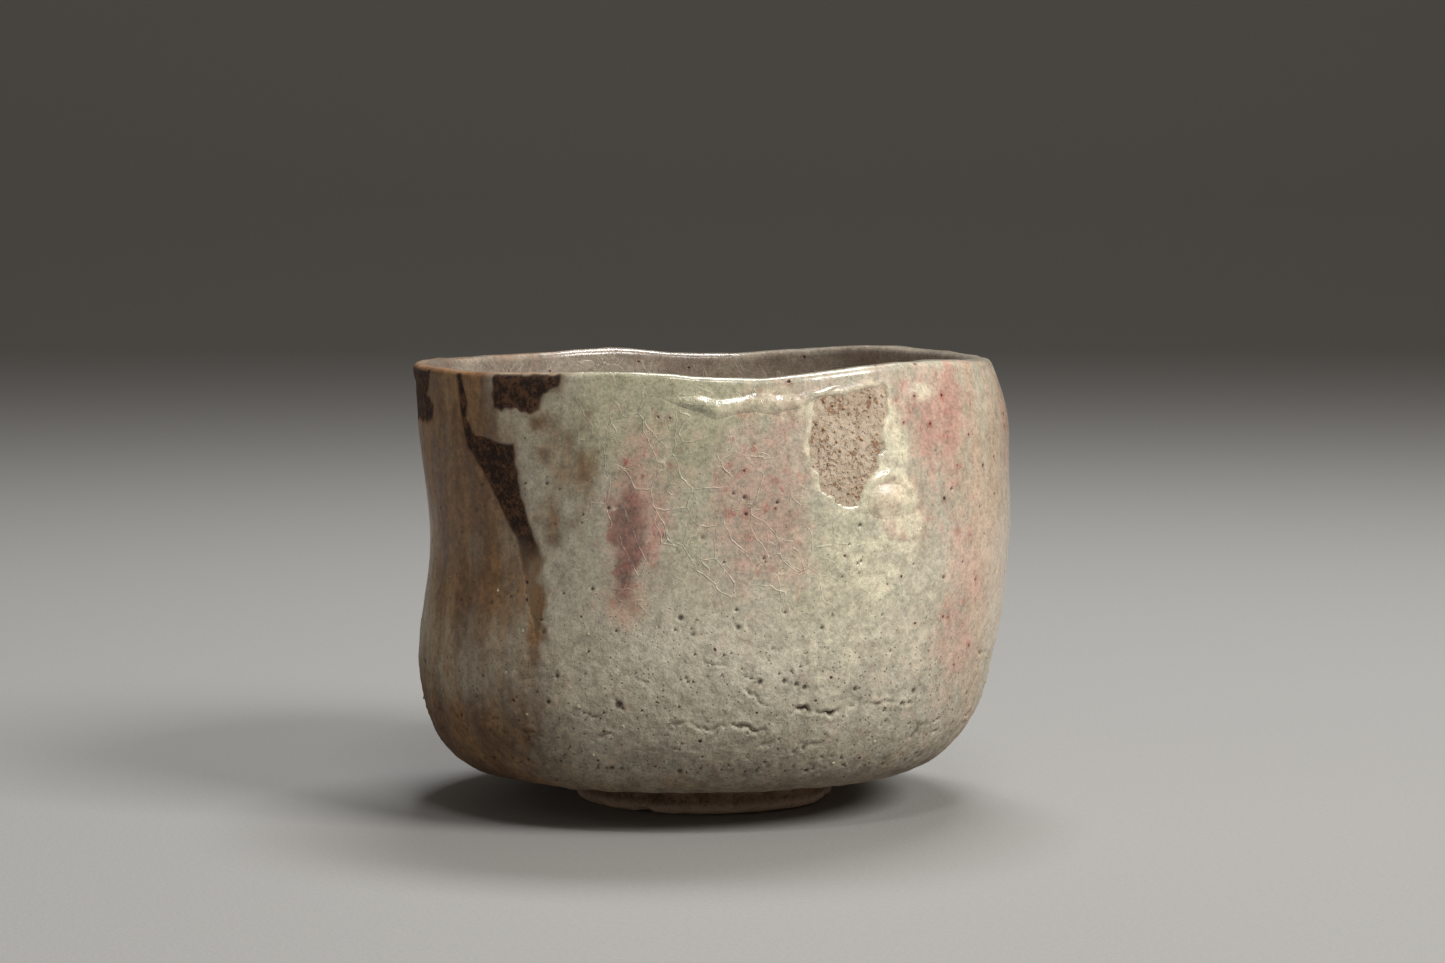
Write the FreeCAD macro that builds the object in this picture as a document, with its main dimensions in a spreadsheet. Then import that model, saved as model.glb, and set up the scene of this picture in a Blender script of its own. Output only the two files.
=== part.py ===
"""A hand-formed tea bowl: a thick clay body on a carved foot ring, under a glassy coat laid on in three ladle pours.

Millimetres. +Z is up, X runs left to right and -Y faces the front. The origin is the centre of the foot ring
on the surface that the bowl stands on.

The wall is a loft through closed spline sections, each a circle pushed slightly out of round. Four such forms
nest inside each other: the coat's outside, the clay's outside, the clay's inside and the glazed inside. The
pieces are what lies between them. The lip is cut along a wave, so it rises and falls round the mouth.
"""

import FreeCAD, Part
import math
import os

import Sketcher
from FreeCAD import Rotation, Vector

SECTION_POLES = 12
POLE_REACH = 3 / (2 + math.cos(2 * math.pi / SECTION_POLES))
TOOL_LENGTH = 200

doc = FreeCAD.newDocument("TeaBowl")
sheet = doc.addObject("Spreadsheet::Sheet", "Sizes")
next_row = 1


def sizes(title, **cells):
    """Writes one titled block of named numbers into the sheet."""
    global next_row
    sheet.set(f"A{next_row}", title)
    next_row += 1
    for alias, value in cells.items():
        sheet.set(f"A{next_row}", alias)
        sheet.set(f"B{next_row}", str(value))
        sheet.setAlias(f"B{next_row}", alias)
        next_row += 1


def profile(prefix, title, stations):
    """Writes a wall profile: each station's height, mean radius, sideways shift and the lean of the wall's normal."""
    for number, (height, radius, shift, lean) in enumerate(stations, 1):
        words = ("height", "radius", "shift", "lean")
        cells = {f"{prefix}_{word}_{number}": value for word, value in zip(words, (height, radius, shift, lean))}
        sizes(f"{title}, station {number}", **cells)
    return len(stations)


# ---------------------------------------------------------------- driving dimensions

sizes(
    "Skins",
    coat_thick=0.8,
    lining_thick=0.7,
    lip_height=1.6,
    lip_round=1.3,
)
sizes(
    "Out-of-round shape: three soft corners and four weaker ones",
    three_depth=0.018,
    three_turn=-25,
    four_depth=0.014,
    four_turn=-40,
)
OUTER_STATIONS = profile(
    "outer",
    "Outside of the wall, foot to lip",
    [
        (6.2, 30.0, -0.5, 86),
        (7.1, 41.0, -1.5, 68),
        (10.2, 48.0, -1.6, 40),
        (15.8, 52.3, -0.9, 18),
        (24.0, 54.8, -0.1, 8),
        (34.0, 55.7, 1.1, 2),
        (47.0, 55.7, 2.8, 0),
        (60.0, 56.2, 2.6, 0),
        (72.0, 56.2, 1.1, -2),
        (81.0, 55.7, -0.3, -4),
        (92.0, 53.6, -1.2, -6),
    ],
)
INNER_STATIONS = profile(
    "inner",
    "Inside of the glazed wall, floor to lip",
    [
        (15.4, 27.5, 0.0, 84),
        (17.0, 37.0, 0.0, 66),
        (20.8, 43.0, 0.1, 42),
        (27.5, 46.9, 0.5, 20),
        (36.0, 48.5, 1.1, 9),
        (47.0, 49.3, 2.2, 4),
        (60.0, 50.2, 2.2, 2),
        (72.0, 50.9, 1.0, 0),
        (81.0, 51.0, -0.3, -2),
        (92.0, 49.8, -1.2, -4),
    ],
)
sizes(
    "Wave of the lip: heights of the curve's poles, left to right, and its turn about the bowl",
    wave_turn=3.5,
    wave_1=84.2,
    wave_2=84.8,
    wave_3=82.8,
    wave_4=85.8,
    wave_5=81.7,
    wave_6=87.2,
    wave_7=84.2,
    wave_8=84.0,
)
WAVE_ACROSS = (-78, -56, -38, -16, 5.5, 37, 56, 78)
sizes(
    "Foot ring and the floor inside it",
    foot_top=7.0,
    foot_top_radius=26.0,
    foot_base_radius=24.8,
    foot_hollow_radius=16.5,
    foot_mouth_radius=18.2,
    foot_floor=4.6,
    foot_round=0.7,
    boss_radius=6.0,
    boss_tip_radius=1.5,
    boss_drop=1.2,
)
sizes("Dished floor and the pool in it", dish_sphere=170.0, dish_bottom=13.4, dish_edge=27.0, pool_level=14.0)
sizes("Ladle pours, degrees from -Y towards +X", front_from=-35, front_span=115, back_span=135)
sizes("Bare window, centre and size", window_across=26.4, window_up=71.2, window_wide=14.4, window_tall=21.4)
sizes("Iron streak, centre and size", streak_across=-36.4, streak_up=60.2, streak_wide=15.2, streak_tall=45.0)
sizes("Iron patch at the lip, centre and size", lip_patch_across=-30.9, lip_patch_up=81.0, lip_patch_wide=13.4,
      lip_patch_tall=9.0)
sizes("Iron patch at the side, centre and size", side_patch_back=-14.5, side_patch_up=79.0, side_patch_wide=13.0,
      side_patch_tall=12.0)
sizes("Glaze roll", roll_turn=9.7, roll_up=79.4, roll_long=12.0, roll_tall=1.7, roll_deep=2.3, roll_sunk=1.3)
sizes("Glaze blister", blister_turn=34.6, blister_up=61.4, blister_radius=2.8, blister_sunk=1.4)
sizes("Feldspar grains", grain_radius=1.3, grain_sunk=0.45)
doc.recompute()


# ---------------------------------------------------------------- sketches and forms


def plane(body, role):
    return next(feature for feature in body.Origin.OriginFeatures if feature.Role == role)


def new_sketch(body, role, name):
    """An empty sketch on one of the body's own origin planes."""
    sketch = body.newObject("Sketcher::SketchObject", name)
    sketch.AttachmentSupport = [(plane(body, role), "")]
    sketch.MapMode = "FlatFace"
    return sketch


def closed_spline(sketch, poles):
    """Draws a smooth closed curve. Each pole is a pair of expressions, across and up, that hold it in place."""
    count = len(poles)
    turns = [2 * math.pi * k / count for k in range(count)]
    start = [Vector(40 * math.cos(turn), 40 * math.sin(turn), 0) for turn in turns]
    curve = sketch.addGeometry(Part.BSplineCurve(start, None, None, True, 3, None, False), False)
    sketch.exposeInternalGeometry(curve)
    for k, (across, up) in enumerate(poles):
        pole = curve + 1 + k
        for kind, value, expression in (("DistanceX", start[k].x, across), ("DistanceY", start[k].y, up)):
            constraint = sketch.addConstraint(Sketcher.Constraint(kind, -1, 1, pole, 3, value))
            sketch.setExpression(f"Constraints[{constraint}]", expression)


def section_poles(radius, shift):
    """The poles of one wall section, with its three soft corners and four weaker ones."""
    poles = []
    for k in range(SECTION_POLES):
        turn = 360 * k / SECTION_POLES
        three = f"Sizes.three_depth * cos(3 * ({turn} - Sizes.three_turn) * 1 deg)"
        four = f"Sizes.four_depth * cos(4 * ({turn} - Sizes.four_turn) * 1 deg)"
        reach = f"({radius}) * {POLE_REACH} * (1 + {three} + {four})"
        poles.append((f"({shift}) + {reach} * cos({turn} deg)", f"{reach} * sin({turn} deg)"))
    return poles


def wall_form(name, prefix, stations, inset, overshoot):
    """A solid with the wall's shape: a loft through the profile's stations, moved in along the normal by inset.

    Its flat top is raised by overshoot, so that a form cut out of another one always passes through the other's top.
    """
    body = doc.addObject("PartDesign::Body", name)
    sections = []
    for number in range(1, stations + 1):
        lean = f"Sizes.{prefix}_lean_{number} * 1 deg"
        sketch = new_sketch(body, "XY_Plane", f"{name}_section_{number}")
        radius = f"Sizes.{prefix}_radius_{number} - ({inset}) * cos({lean})"
        closed_spline(sketch, section_poles(radius, f"Sizes.{prefix}_shift_{number}"))
        height = f"Sizes.{prefix}_height_{number} + ({inset}) * sin({lean})"
        if number == stations:
            height += f" + {overshoot}"
        sketch.setExpression("AttachmentOffset.Base.z", height)
        sections.append(sketch)
    doc.recompute()
    loft = body.newObject("PartDesign::AdditiveLoft", f"{name}_loft")
    loft.Profile = sections[0]
    loft.Sections = sections[1:]
    doc.recompute()
    return body


def wave_tool(name, drop):
    """Everything above the wave of the lip, lowered by drop."""
    body = doc.addObject("PartDesign::Body", name)
    sketch = new_sketch(body, "XZ_Plane", f"{name}_wave")
    heights = [sheet.get(f"wave_{k + 1}") for k in range(len(WAVE_ACROSS))]
    poles = [Vector(across, height, 0) for across, height in zip(WAVE_ACROSS, heights)]
    spline = Part.BSplineCurve()
    spline.buildFromPoles(poles, False, 3)
    wave = sketch.addGeometry(spline, False)
    sketch.exposeInternalGeometry(wave)
    for k, across in enumerate(WAVE_ACROSS):
        pole = wave + 1 + k
        sketch.addConstraint(Sketcher.Constraint("DistanceX", -1, 1, pole, 3, across))
        up = sketch.addConstraint(Sketcher.Constraint("DistanceY", -1, 1, pole, 3, heights[k]))
        sketch.setExpression(f"Constraints[{up}]", f"Sizes.wave_{k + 1} - ({drop})")
    ceiling = 110
    left, right = poles[0], poles[-1]
    right_side = sketch.addGeometry(Part.LineSegment(right, Vector(right.x, ceiling, 0)), False)
    top = sketch.addGeometry(Part.LineSegment(Vector(right.x, ceiling, 0), Vector(left.x, ceiling, 0)), False)
    left_side = sketch.addGeometry(Part.LineSegment(Vector(left.x, ceiling, 0), left), False)
    ring = [(wave, 2, right_side, 1), (right_side, 2, top, 1), (top, 2, left_side, 1), (left_side, 2, wave, 1)]
    for joint in ring:
        sketch.addConstraint(Sketcher.Constraint("Coincident", *joint))
    sketch.addConstraint(Sketcher.Constraint("Vertical", right_side))
    sketch.addConstraint(Sketcher.Constraint("Vertical", left_side))
    sketch.addConstraint(Sketcher.Constraint("Horizontal", top))
    sketch.addConstraint(Sketcher.Constraint("DistanceY", -1, 1, top, 1, ceiling))
    doc.recompute()
    pad = body.newObject("PartDesign::Pad", f"{name}_pad")
    pad.Profile = sketch
    pad.Midplane = True
    pad.Length = TOOL_LENGTH
    body.setExpression("Placement.Rotation.Angle", "Sizes.wave_turn * 1 deg")
    doc.recompute()
    return body


def patch_tool(name, role, reverse, prefix, across, outline):
    """A prism that cuts a patch out of the coat. The outline's points are shares of the patch's width and height."""
    body = doc.addObject("PartDesign::Body", name)
    sketch = new_sketch(body, role, f"{name}_outline")
    poles = []
    for share_across, share_up in outline:
        pole_across = f"Sizes.{prefix}_{across} + {share_across} * Sizes.{prefix}_wide"
        pole_up = f"Sizes.{prefix}_up + {share_up} * Sizes.{prefix}_tall"
        poles.append((pole_across, pole_up))
    closed_spline(sketch, poles)
    doc.recompute()
    pad = body.newObject("PartDesign::Pad", f"{name}_pad")
    pad.Profile = sketch
    pad.Length = TOOL_LENGTH / 2
    pad.Reversed = reverse
    doc.recompute()
    return body


def combine(kind, name, first, second):
    """A Part::Cut or Part::Common of two objects."""
    made = doc.addObject(f"Part::{kind}", name)
    made.Base = first
    made.Tool = second
    return made


def gather(name, shapes):
    """Several objects fused into one."""
    made = doc.addObject("Part::MultiFuse", name)
    made.Shapes = shapes
    return made


def solid(kind, name, **bound):
    """A Part primitive. Each keyword names one of its properties, with __ for a dot, and gives its expression."""
    made = doc.addObject(f"Part::{kind}", name)
    for path, expression in bound.items():
        made.setExpression(path.replace("__", "."), expression)
    return made


coat_form = wall_form("CoatForm", "outer", OUTER_STATIONS, "0", 0)
clay_form = wall_form("ClayForm", "outer", OUTER_STATIONS, "Sizes.coat_thick", 1)
hollow_form = wall_form("HollowForm", "inner", INNER_STATIONS, "-Sizes.lining_thick", 2)
lining_form = wall_form("LiningForm", "inner", INNER_STATIONS, "0", 3)
above_lip = wave_tool("AboveLip", "0")
above_wall = wave_tool("AboveWall", "Sizes.lip_height")


# ---------------------------------------------------------------- foot ring


def make_foot_ring():
    """The carved ring that the bowl stands on: a leaning outer side, a flat base and a hollow inside."""
    body = doc.addObject("PartDesign::Body", "FootRing")
    sketch = new_sketch(body, "XZ_Plane", "FootRing_profile")
    corners = [
        ("Sizes.foot_hollow_radius", "Sizes.foot_top"),
        ("Sizes.foot_top_radius", "Sizes.foot_top"),
        ("Sizes.foot_base_radius", None),
        ("Sizes.foot_mouth_radius", None),
        ("Sizes.foot_hollow_radius", "Sizes.foot_floor"),
    ]
    start = [Vector(17, 8, 0), Vector(26, 8, 0), Vector(25, 0, 0), Vector(18, 0, 0), Vector(17, 5, 0)]
    count = len(corners)
    lines = [sketch.addGeometry(Part.LineSegment(start[k], start[(k + 1) % count]), False) for k in range(count)]
    for k in range(count):
        sketch.addConstraint(Sketcher.Constraint("Coincident", lines[k], 2, lines[(k + 1) % count], 1))
    for line, point, (radius, height) in zip(lines, start, corners):
        out = sketch.addConstraint(Sketcher.Constraint("DistanceX", -1, 1, line, 1, point.x))
        sketch.setExpression(f"Constraints[{out}]", radius)
        if height:
            up = sketch.addConstraint(Sketcher.Constraint("DistanceY", -1, 1, line, 1, point.y))
            sketch.setExpression(f"Constraints[{up}]", height)
        else:
            sketch.addConstraint(Sketcher.Constraint("PointOnObject", line, 1, -1))
    doc.recompute()
    turned = body.newObject("PartDesign::Revolution", "FootRing_turned")
    turned.Profile = sketch
    turned.ReferenceAxis = (sketch, ["V_Axis"])
    turned.Angle = 360
    doc.recompute()
    at_base = []
    for number, edge in enumerate(turned.Shape.Edges, 1):
        box = edge.BoundBox
        if box.ZMax < 0.01 and box.XLength > 20:
            at_base.append(f"Edge{number}")
    rounded = body.newObject("PartDesign::Fillet", "FootRing_rounded")
    rounded.Base = (turned, at_base)
    rounded.setExpression("Radius", "Sizes.foot_round")
    doc.recompute()
    return body


foot_ring = make_foot_ring()


# ---------------------------------------------------------------- clay body

foot_floor = solid(
    "Cylinder",
    "FootFloor",
    Radius="Sizes.foot_hollow_radius",
    Height="Sizes.foot_top - Sizes.foot_floor + 1",
    Placement__Base__z="Sizes.foot_floor",
)
foot_boss = solid(
    "Cone",
    "FootBoss",
    Radius1="Sizes.boss_tip_radius",
    Radius2="Sizes.boss_radius",
    Height="Sizes.boss_drop",
    Placement__Base__z="Sizes.foot_floor - Sizes.boss_drop",
)
clay_mass = gather("ClayMass", [clay_form, foot_floor, foot_boss])


# ---------------------------------------------------------------- dished floor, inner glaze and pool


def lens(name, bottom, level):
    """A shallow spherical cap: the dish's sphere, moved out to the given bottom and filled up to a level."""
    ball = solid(
        "Sphere",
        f"{name}_ball",
        Radius=f"Sizes.dish_sphere + Sizes.dish_bottom - ({bottom})",
        Placement__Base__z="Sizes.dish_bottom + Sizes.dish_sphere",
    )
    slab = solid(
        "Cylinder",
        f"{name}_slab",
        Radius="Sizes.dish_edge",
        Height=f"{level} - ({bottom}) + 1",
        Placement__Base__z=f"{bottom} - 1",
    )
    return combine("Common", name, ball, slab)


dish_in_clay = lens(
    "DishInClay",
    "Sizes.dish_bottom - Sizes.lining_thick",
    "Sizes.inner_height_1 - Sizes.lining_thick + 0.3",
)
dish = lens("Dish", "Sizes.dish_bottom", "Sizes.inner_height_1 + 0.3")
tea_pool = lens("TeaPool", "Sizes.dish_bottom", "Sizes.pool_level")
hollow = gather("Hollow", [hollow_form, dish_in_clay])
lining = gather("Lining", [lining_form, dish])
clay_shell = combine("Cut", "ClayShell", clay_mass, hollow)
clay_body = combine("Cut", "ClayBody", clay_shell, above_wall)
lining_shell = combine("Cut", "LiningShell", hollow, lining)
inner_glaze = combine("Cut", "InnerGlaze", lining_shell, above_wall)


# ---------------------------------------------------------------- bead of glaze on the lip

lip_wall = combine("Cut", "LipWall", coat_form, lining_form)
lip_band = combine("Common", "LipBand", lip_wall, above_wall)
lip_bead = combine("Cut", "LipBead", lip_band, above_lip)
doc.recompute()


def make_rim_glaze():
    """The bead of glaze along the lip, with its two top edges rounded over."""
    lowest_top = min(sheet.get(f"wave_{k}") for k in range(2, 8))
    bead = doc.addObject("Part::Fillet", "RimGlaze")
    bead.Base = lip_bead
    mid_height = lowest_top - sheet.get("lip_height") / 2
    edges = []
    for number, edge in enumerate(lip_bead.Shape.Edges, 1):
        closed_ring = edge.BoundBox.XLength > 40 and edge.BoundBox.YLength > 40
        if closed_ring and edge.CenterOfMass.z > mid_height:
            edges.append((number, edge))
    edges.sort(key=lambda item: item[1].CenterOfMass.z)
    round_radius = sheet.get("lip_round")
    bead.Edges = [(number, round_radius, round_radius) for number, edge in edges[-2:]]
    return bead


rim_glaze = make_rim_glaze()


# ---------------------------------------------------------------- outer coat and its pours

coat_shell = combine("Cut", "CoatShell", coat_form, clay_form)
foot_clear = solid("Cylinder", "FootClear", Radius="Sizes.foot_top_radius", Height="Sizes.foot_top")
coat_open = combine("Cut", "CoatOpen", coat_shell, foot_clear)
outer_coat = combine("Cut", "OuterCoat", coat_open, above_wall)

WINDOW_OUTLINE = [
    (0.50, 0.44), (0.10, 0.47), (-0.36, 0.52), (-0.55, 0.16), (-0.52, -0.14),
    (-0.26, -0.46), (0.10, -0.58), (0.26, -0.34), (0.42, -0.04), (0.62, 0.40),
]
STREAK_OUTLINE = [
    (-0.52, 0.52), (-0.44, 0.42), (-0.30, 0.26), (0.20, 0.24), (0.20, 0.10), (0.30, -0.06),
    (0.50, -0.24), (0.46, -0.44), (0.36, -0.56), (0.28, -0.40), (0.22, -0.18), (-0.02, -0.02),
    (-0.32, 0.14), (-0.56, 0.34),
]
LIP_PATCH_OUTLINE = [
    (0.58, 0.60), (-0.56, 0.60), (-0.50, -0.22), (-0.34, -0.40), (-0.06, -0.38), (0.14, -0.56),
    (0.30, -0.10), (0.56, 0.06),
]
SIDE_PATCH_OUTLINE = [(0.50, 0.50), (-0.30, 0.56), (-0.56, 0.10), (-0.34, -0.46), (0.02, -0.58), (0.30, -0.20)]

window_tool = patch_tool("WindowTool", "XZ_Plane", False, "window", "across", WINDOW_OUTLINE)
streak_tool = patch_tool("StreakTool", "XZ_Plane", False, "streak", "across", STREAK_OUTLINE)
lip_patch_tool = patch_tool("LipPatchTool", "XZ_Plane", False, "lip_patch", "across", LIP_PATCH_OUTLINE)
side_patch_tool = patch_tool("SidePatchTool", "YZ_Plane", True, "side_patch", "back", SIDE_PATCH_OUTLINE)


def pour(name, start, span, tools):
    """One pour of the coat: a wedge of it from start degrees round from -Y towards +X, less the patches it meets."""
    wedge = solid("Cylinder", f"{name}_wedge", Angle=span)
    wedge.Radius = TOOL_LENGTH / 2
    wedge.Height = TOOL_LENGTH / 2
    wedge.setExpression("Placement.Rotation.Angle", f"(({start}) - 90) * 1 deg")
    made = combine("Common", f"{name}_whole", outer_coat, wedge)
    for tool in tools:
        made = combine("Cut", f"{name}_less_{tool.Name}", made, tool)
    return made


front_end = "Sizes.front_from + Sizes.front_span"
back_end = f"{front_end} + Sizes.back_span"
left_span = "360 - Sizes.front_span - Sizes.back_span"
glaze_front = pour(
    "FrontPour", "Sizes.front_from", "Sizes.front_span", [window_tool, streak_tool, lip_patch_tool]
)
glaze_left = pour("LeftPour", back_end, left_span, [streak_tool, lip_patch_tool, side_patch_tool])
glaze_back = pour("BackPour", front_end, "Sizes.back_span", [])

bare_window = combine("Common", "BareWindow", outer_coat, window_tool)
iron_streak = combine("Common", "IronStreak", outer_coat, streak_tool)
iron_lip_patch = combine("Common", "IronLipPatch", outer_coat, lip_patch_tool)
iron_side_patch = combine("Common", "IronSidePatch", outer_coat, side_patch_tool)


# ---------------------------------------------------------------- what stands proud of the coat

doc.recompute()


def wall_point(turn, height, sunk):
    """A point on the coat, turn degrees round from -Y towards +X, then moved in towards the axis by sunk."""
    outward = Vector(math.sin(math.radians(turn)), -math.cos(math.radians(turn)), 0)
    axis_point = Vector(0, 0, height)
    inside = Part.makeLine(axis_point, axis_point + outward * TOOL_LENGTH).common(coat_form.Shape)
    surface = max((vertex.Point for vertex in inside.Vertexes), key=lambda point: point.sub(axis_point).Length)
    return surface - outward * sunk


roll_ellipsoid = solid(
    "Ellipsoid", "RollEllipsoid", Radius1="Sizes.roll_tall", Radius2="Sizes.roll_long", Radius3="Sizes.roll_deep"
)
roll_turn = sheet.get("roll_turn")
roll_centre = wall_point(roll_turn, sheet.get("roll_up"), sheet.get("roll_sunk"))
roll_ellipsoid.Placement = FreeCAD.Placement(roll_centre, Rotation(Vector(0, 0, 1), roll_turn))
glaze_roll = combine("Cut", "GlazeRoll", roll_ellipsoid, coat_form)

blister_sphere = solid("Sphere", "BlisterSphere", Radius="Sizes.blister_radius")
blister_sphere.Placement.Base = wall_point(
    sheet.get("blister_turn"), sheet.get("blister_up"), sheet.get("blister_sunk")
)
glaze_blister = combine("Cut", "GlazeBlister", blister_sphere, coat_form)

# Each grain: degrees round from -Y towards +X, its height, and its share of the full grain size.
GRAINS = [(-24, 24, 0.9), (-9, 34, 0.8), (2, 27, 1.0), (13, 22, 0.7), (21, 36, 0.7), (38, 28, 0.9), (97, 30, 0.9),
          (140, 41, 0.8), (188, 26, 1.0), (-120, 33, 0.8), (-67, 25, 0.8)]


def make_feldspar_grains():
    """Grains of feldspar that the shrinking clay has pushed out through the coat, one solid each."""
    pieces = []
    for turn, height, share in GRAINS:
        radius = sheet.get("grain_radius") * share
        ball = Part.makeSphere(radius, wall_point(turn, height, radius * sheet.get("grain_sunk")))
        pieces += ball.cut(coat_form.Shape).Solids
    made = doc.addObject("Part::Feature", "FeldsparGrains")
    made.Shape = Part.makeCompound(pieces)
    return made


feldspar_grains = make_feldspar_grains()


# ---------------------------------------------------------------- the pieces

PIECES = {
    "clay_body": clay_body,
    "foot_ring": foot_ring,
    "outer_glaze_front": glaze_front,
    "outer_glaze_left": glaze_left,
    "outer_glaze_back": glaze_back,
    "inner_glaze": inner_glaze,
    "rim_glaze": rim_glaze,
    "tea_pool_glaze": tea_pool,
    "glaze_roll": glaze_roll,
    "glaze_blister": glaze_blister,
    "iron_streak": iron_streak,
    "iron_lip_patch": iron_lip_patch,
    "iron_side_patch": iron_side_patch,
    "bare_clay_window": bare_window,
    "feldspar_grains": feldspar_grains,
}
for label, piece in PIECES.items():
    piece.Label = label
doc.recompute()

failed = [thing.Label for thing in doc.Objects if {"Invalid", "Error"} & set(thing.State)]
if failed:
    raise RuntimeError(f"these objects failed: {failed}")
on_the_outside = [glaze_front, glaze_back, glaze_left, bare_window, iron_streak, iron_lip_patch, iron_side_patch]
missing = 1 - sum(piece.Shape.Volume for piece in on_the_outside) / outer_coat.Shape.Volume
if abs(missing) > 0.01:
    raise RuntimeError(f"the outer coat's pieces leave out {missing:.1%} of it")

os.makedirs("parts", exist_ok=True)
for label, piece in PIECES.items():
    shape = piece.Shape
    if shape.isNull() or not shape.isValid() or not shape.Solids:
        raise RuntimeError(f"{label} has no valid solid")
    shape.exportStep(f"parts/{label}.step")
    box = shape.optimalBoundingBox(False)
    print(f"{label}: {len(shape.Solids)} solids, {shape.Volume:.1f} mm3, z {box.ZMin:.1f} to {box.ZMax:.1f}")
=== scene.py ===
"""A hand-formed tea bowl: thick clay on a carved foot ring, under a glassy feldspar coat with a wavy lip.

Lengths are in millimetres until a mesh is made. A turn is in degrees round the bowl, from the front (-Y)
towards +X. The wall is one skin of rows and columns. The rows go from the foot up the outside, over the lip
and down to the middle of the floor, and the columns go round the bowl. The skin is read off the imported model,
given its relief once, and then cut into the pieces, so that neighbours meet in the same points and normals.
"""

import math

import bpy
import numpy as np
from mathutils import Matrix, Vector
from mathutils.bvhtree import BVHTree


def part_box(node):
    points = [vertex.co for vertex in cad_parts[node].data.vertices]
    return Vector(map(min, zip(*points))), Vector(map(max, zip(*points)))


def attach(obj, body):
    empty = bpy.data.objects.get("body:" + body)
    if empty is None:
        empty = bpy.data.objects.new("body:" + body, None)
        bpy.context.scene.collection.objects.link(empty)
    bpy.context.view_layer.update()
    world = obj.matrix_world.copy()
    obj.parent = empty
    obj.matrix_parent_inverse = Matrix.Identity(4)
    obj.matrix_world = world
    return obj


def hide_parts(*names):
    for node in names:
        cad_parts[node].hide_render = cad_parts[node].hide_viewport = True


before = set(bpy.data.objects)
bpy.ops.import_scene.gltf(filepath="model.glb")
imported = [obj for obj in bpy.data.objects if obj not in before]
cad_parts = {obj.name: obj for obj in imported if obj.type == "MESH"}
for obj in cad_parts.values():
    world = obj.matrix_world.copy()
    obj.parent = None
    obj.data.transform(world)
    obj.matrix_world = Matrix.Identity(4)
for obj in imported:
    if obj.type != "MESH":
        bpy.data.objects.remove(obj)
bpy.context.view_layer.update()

MM = 0.001
RANDOM = np.random.default_rng(11)

# ------------------------------------------------------------------------------- numbers and noise


def ease(low, high, value):
    """0 below low, 1 above high and a smooth step between them."""
    part = np.clip((value - low) / (high - low), 0, 1)
    return part * part * (3 - 2 * part)


def cell_value(x, y, z, seed):
    """A repeatable number from 0 to 1 for each whole-numbered cell."""
    mixed = (x * 73856093) ^ (y * 19349663) ^ (z * 83492791) ^ (seed * 374761393)
    mixed = (mixed ^ (mixed >> 13)) * 1274126177
    return ((mixed ^ (mixed >> 16)) & 0xFFFFFF) / 0x1000000


def noise(points, size, seed=1):
    """Smooth noise from -1 to 1 whose lumps are about size across."""
    scaled = points / size + seed * 7.31
    corner = np.floor(scaled)
    part = scaled - corner
    fade = part**3 * (part * (part * 6 - 15) + 10)
    cell = corner.astype(np.int64)
    total = 0
    for corner_number in range(8):
        step = [corner_number >> axis & 1 for axis in range(3)]
        weight = 1
        for axis in range(3):
            weight = weight * (fade[..., axis] if step[axis] else 1 - fade[..., axis])
        total = total + weight * cell_value(*(cell[..., axis] + step[axis] for axis in range(3)), seed)
    return 2 * total - 1


def round_points(radius, height, turn):
    """Points at a radius, a height and a turn in radians round the bowl's axis."""
    radius, height, turn = np.broadcast_arrays(radius, height, turn)
    return np.stack([radius * np.sin(turn), -radius * np.cos(turn), height], -1)


def edge_distance(across, up, outline):
    """Distance to a closed outline, negative inside it."""
    nearest = np.full(across.shape, 1e9)
    inside = np.zeros(across.shape, bool)
    for (ax, ay), (bx, by) in zip(outline, outline[1:] + outline[:1]):
        nearest = np.minimum(nearest, line_distance(across, up, [(ax, ay), (bx, by)]))
        if ay != by:
            crosses = (ay > up) != (by > up)
            inside ^= crosses & (across < (bx - ax) * (up - ay) / (by - ay) + ax)
    return np.where(inside, -nearest, nearest)


def line_distance(across, up, path):
    """Distance to an open path."""
    nearest = np.full(across.shape, 1e9)
    for (ax, ay), (bx, by) in zip(path, path[1:]):
        dx, dy = bx - ax, by - ay
        along = np.clip(((across - ax) * dx + (up - ay) * dy) / (dx * dx + dy * dy), 0, 1)
        nearest = np.minimum(nearest, np.hypot(across - ax - along * dx, up - ay - along * dy))
    return nearest


# -------------------------------------------------------------------------------- reading the wall

SKIN_NODES = [
    "outer_glaze_front",
    "outer_glaze_left",
    "outer_glaze_back",
    "inner_glaze",
    "rim_glaze",
    "iron_streak",
    "iron_lip_patch",
    "iron_side_patch",
    "bare_clay_window",
]
HUB = np.array([0.0, 0.0, 45.0])
READINGS, HARMONICS = 96, 22
OUTSIDE_READINGS, LIP_READINGS, INSIDE_READINGS = 220, 36, 200
COAT_EDGE_RADIUS = 26.3
BEYOND_THE_BOWL, BEYOND_THE_LIP = 120, 7
OUTER_ROWS, LIP_ROWS, INNER_ROWS = 240, 30, 152
POURS = {"front": (-35, 80, 342), "back": (80, 215, 312), "left": (215, 325, 282)}


def node_tree(names):
    """A search tree over several nodes' faces, and the name of each face's node."""
    points, faces, owners = [], [], []
    for name in names:
        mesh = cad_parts[name].data
        start = len(points)
        points += [vertex.co / MM for vertex in mesh.vertices]
        faces += [[start + corner for corner in face.vertices] for face in mesh.polygons]
        owners += [name] * len(mesh.polygons)
    return BVHTree.FromPolygons(points, faces), owners


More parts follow.
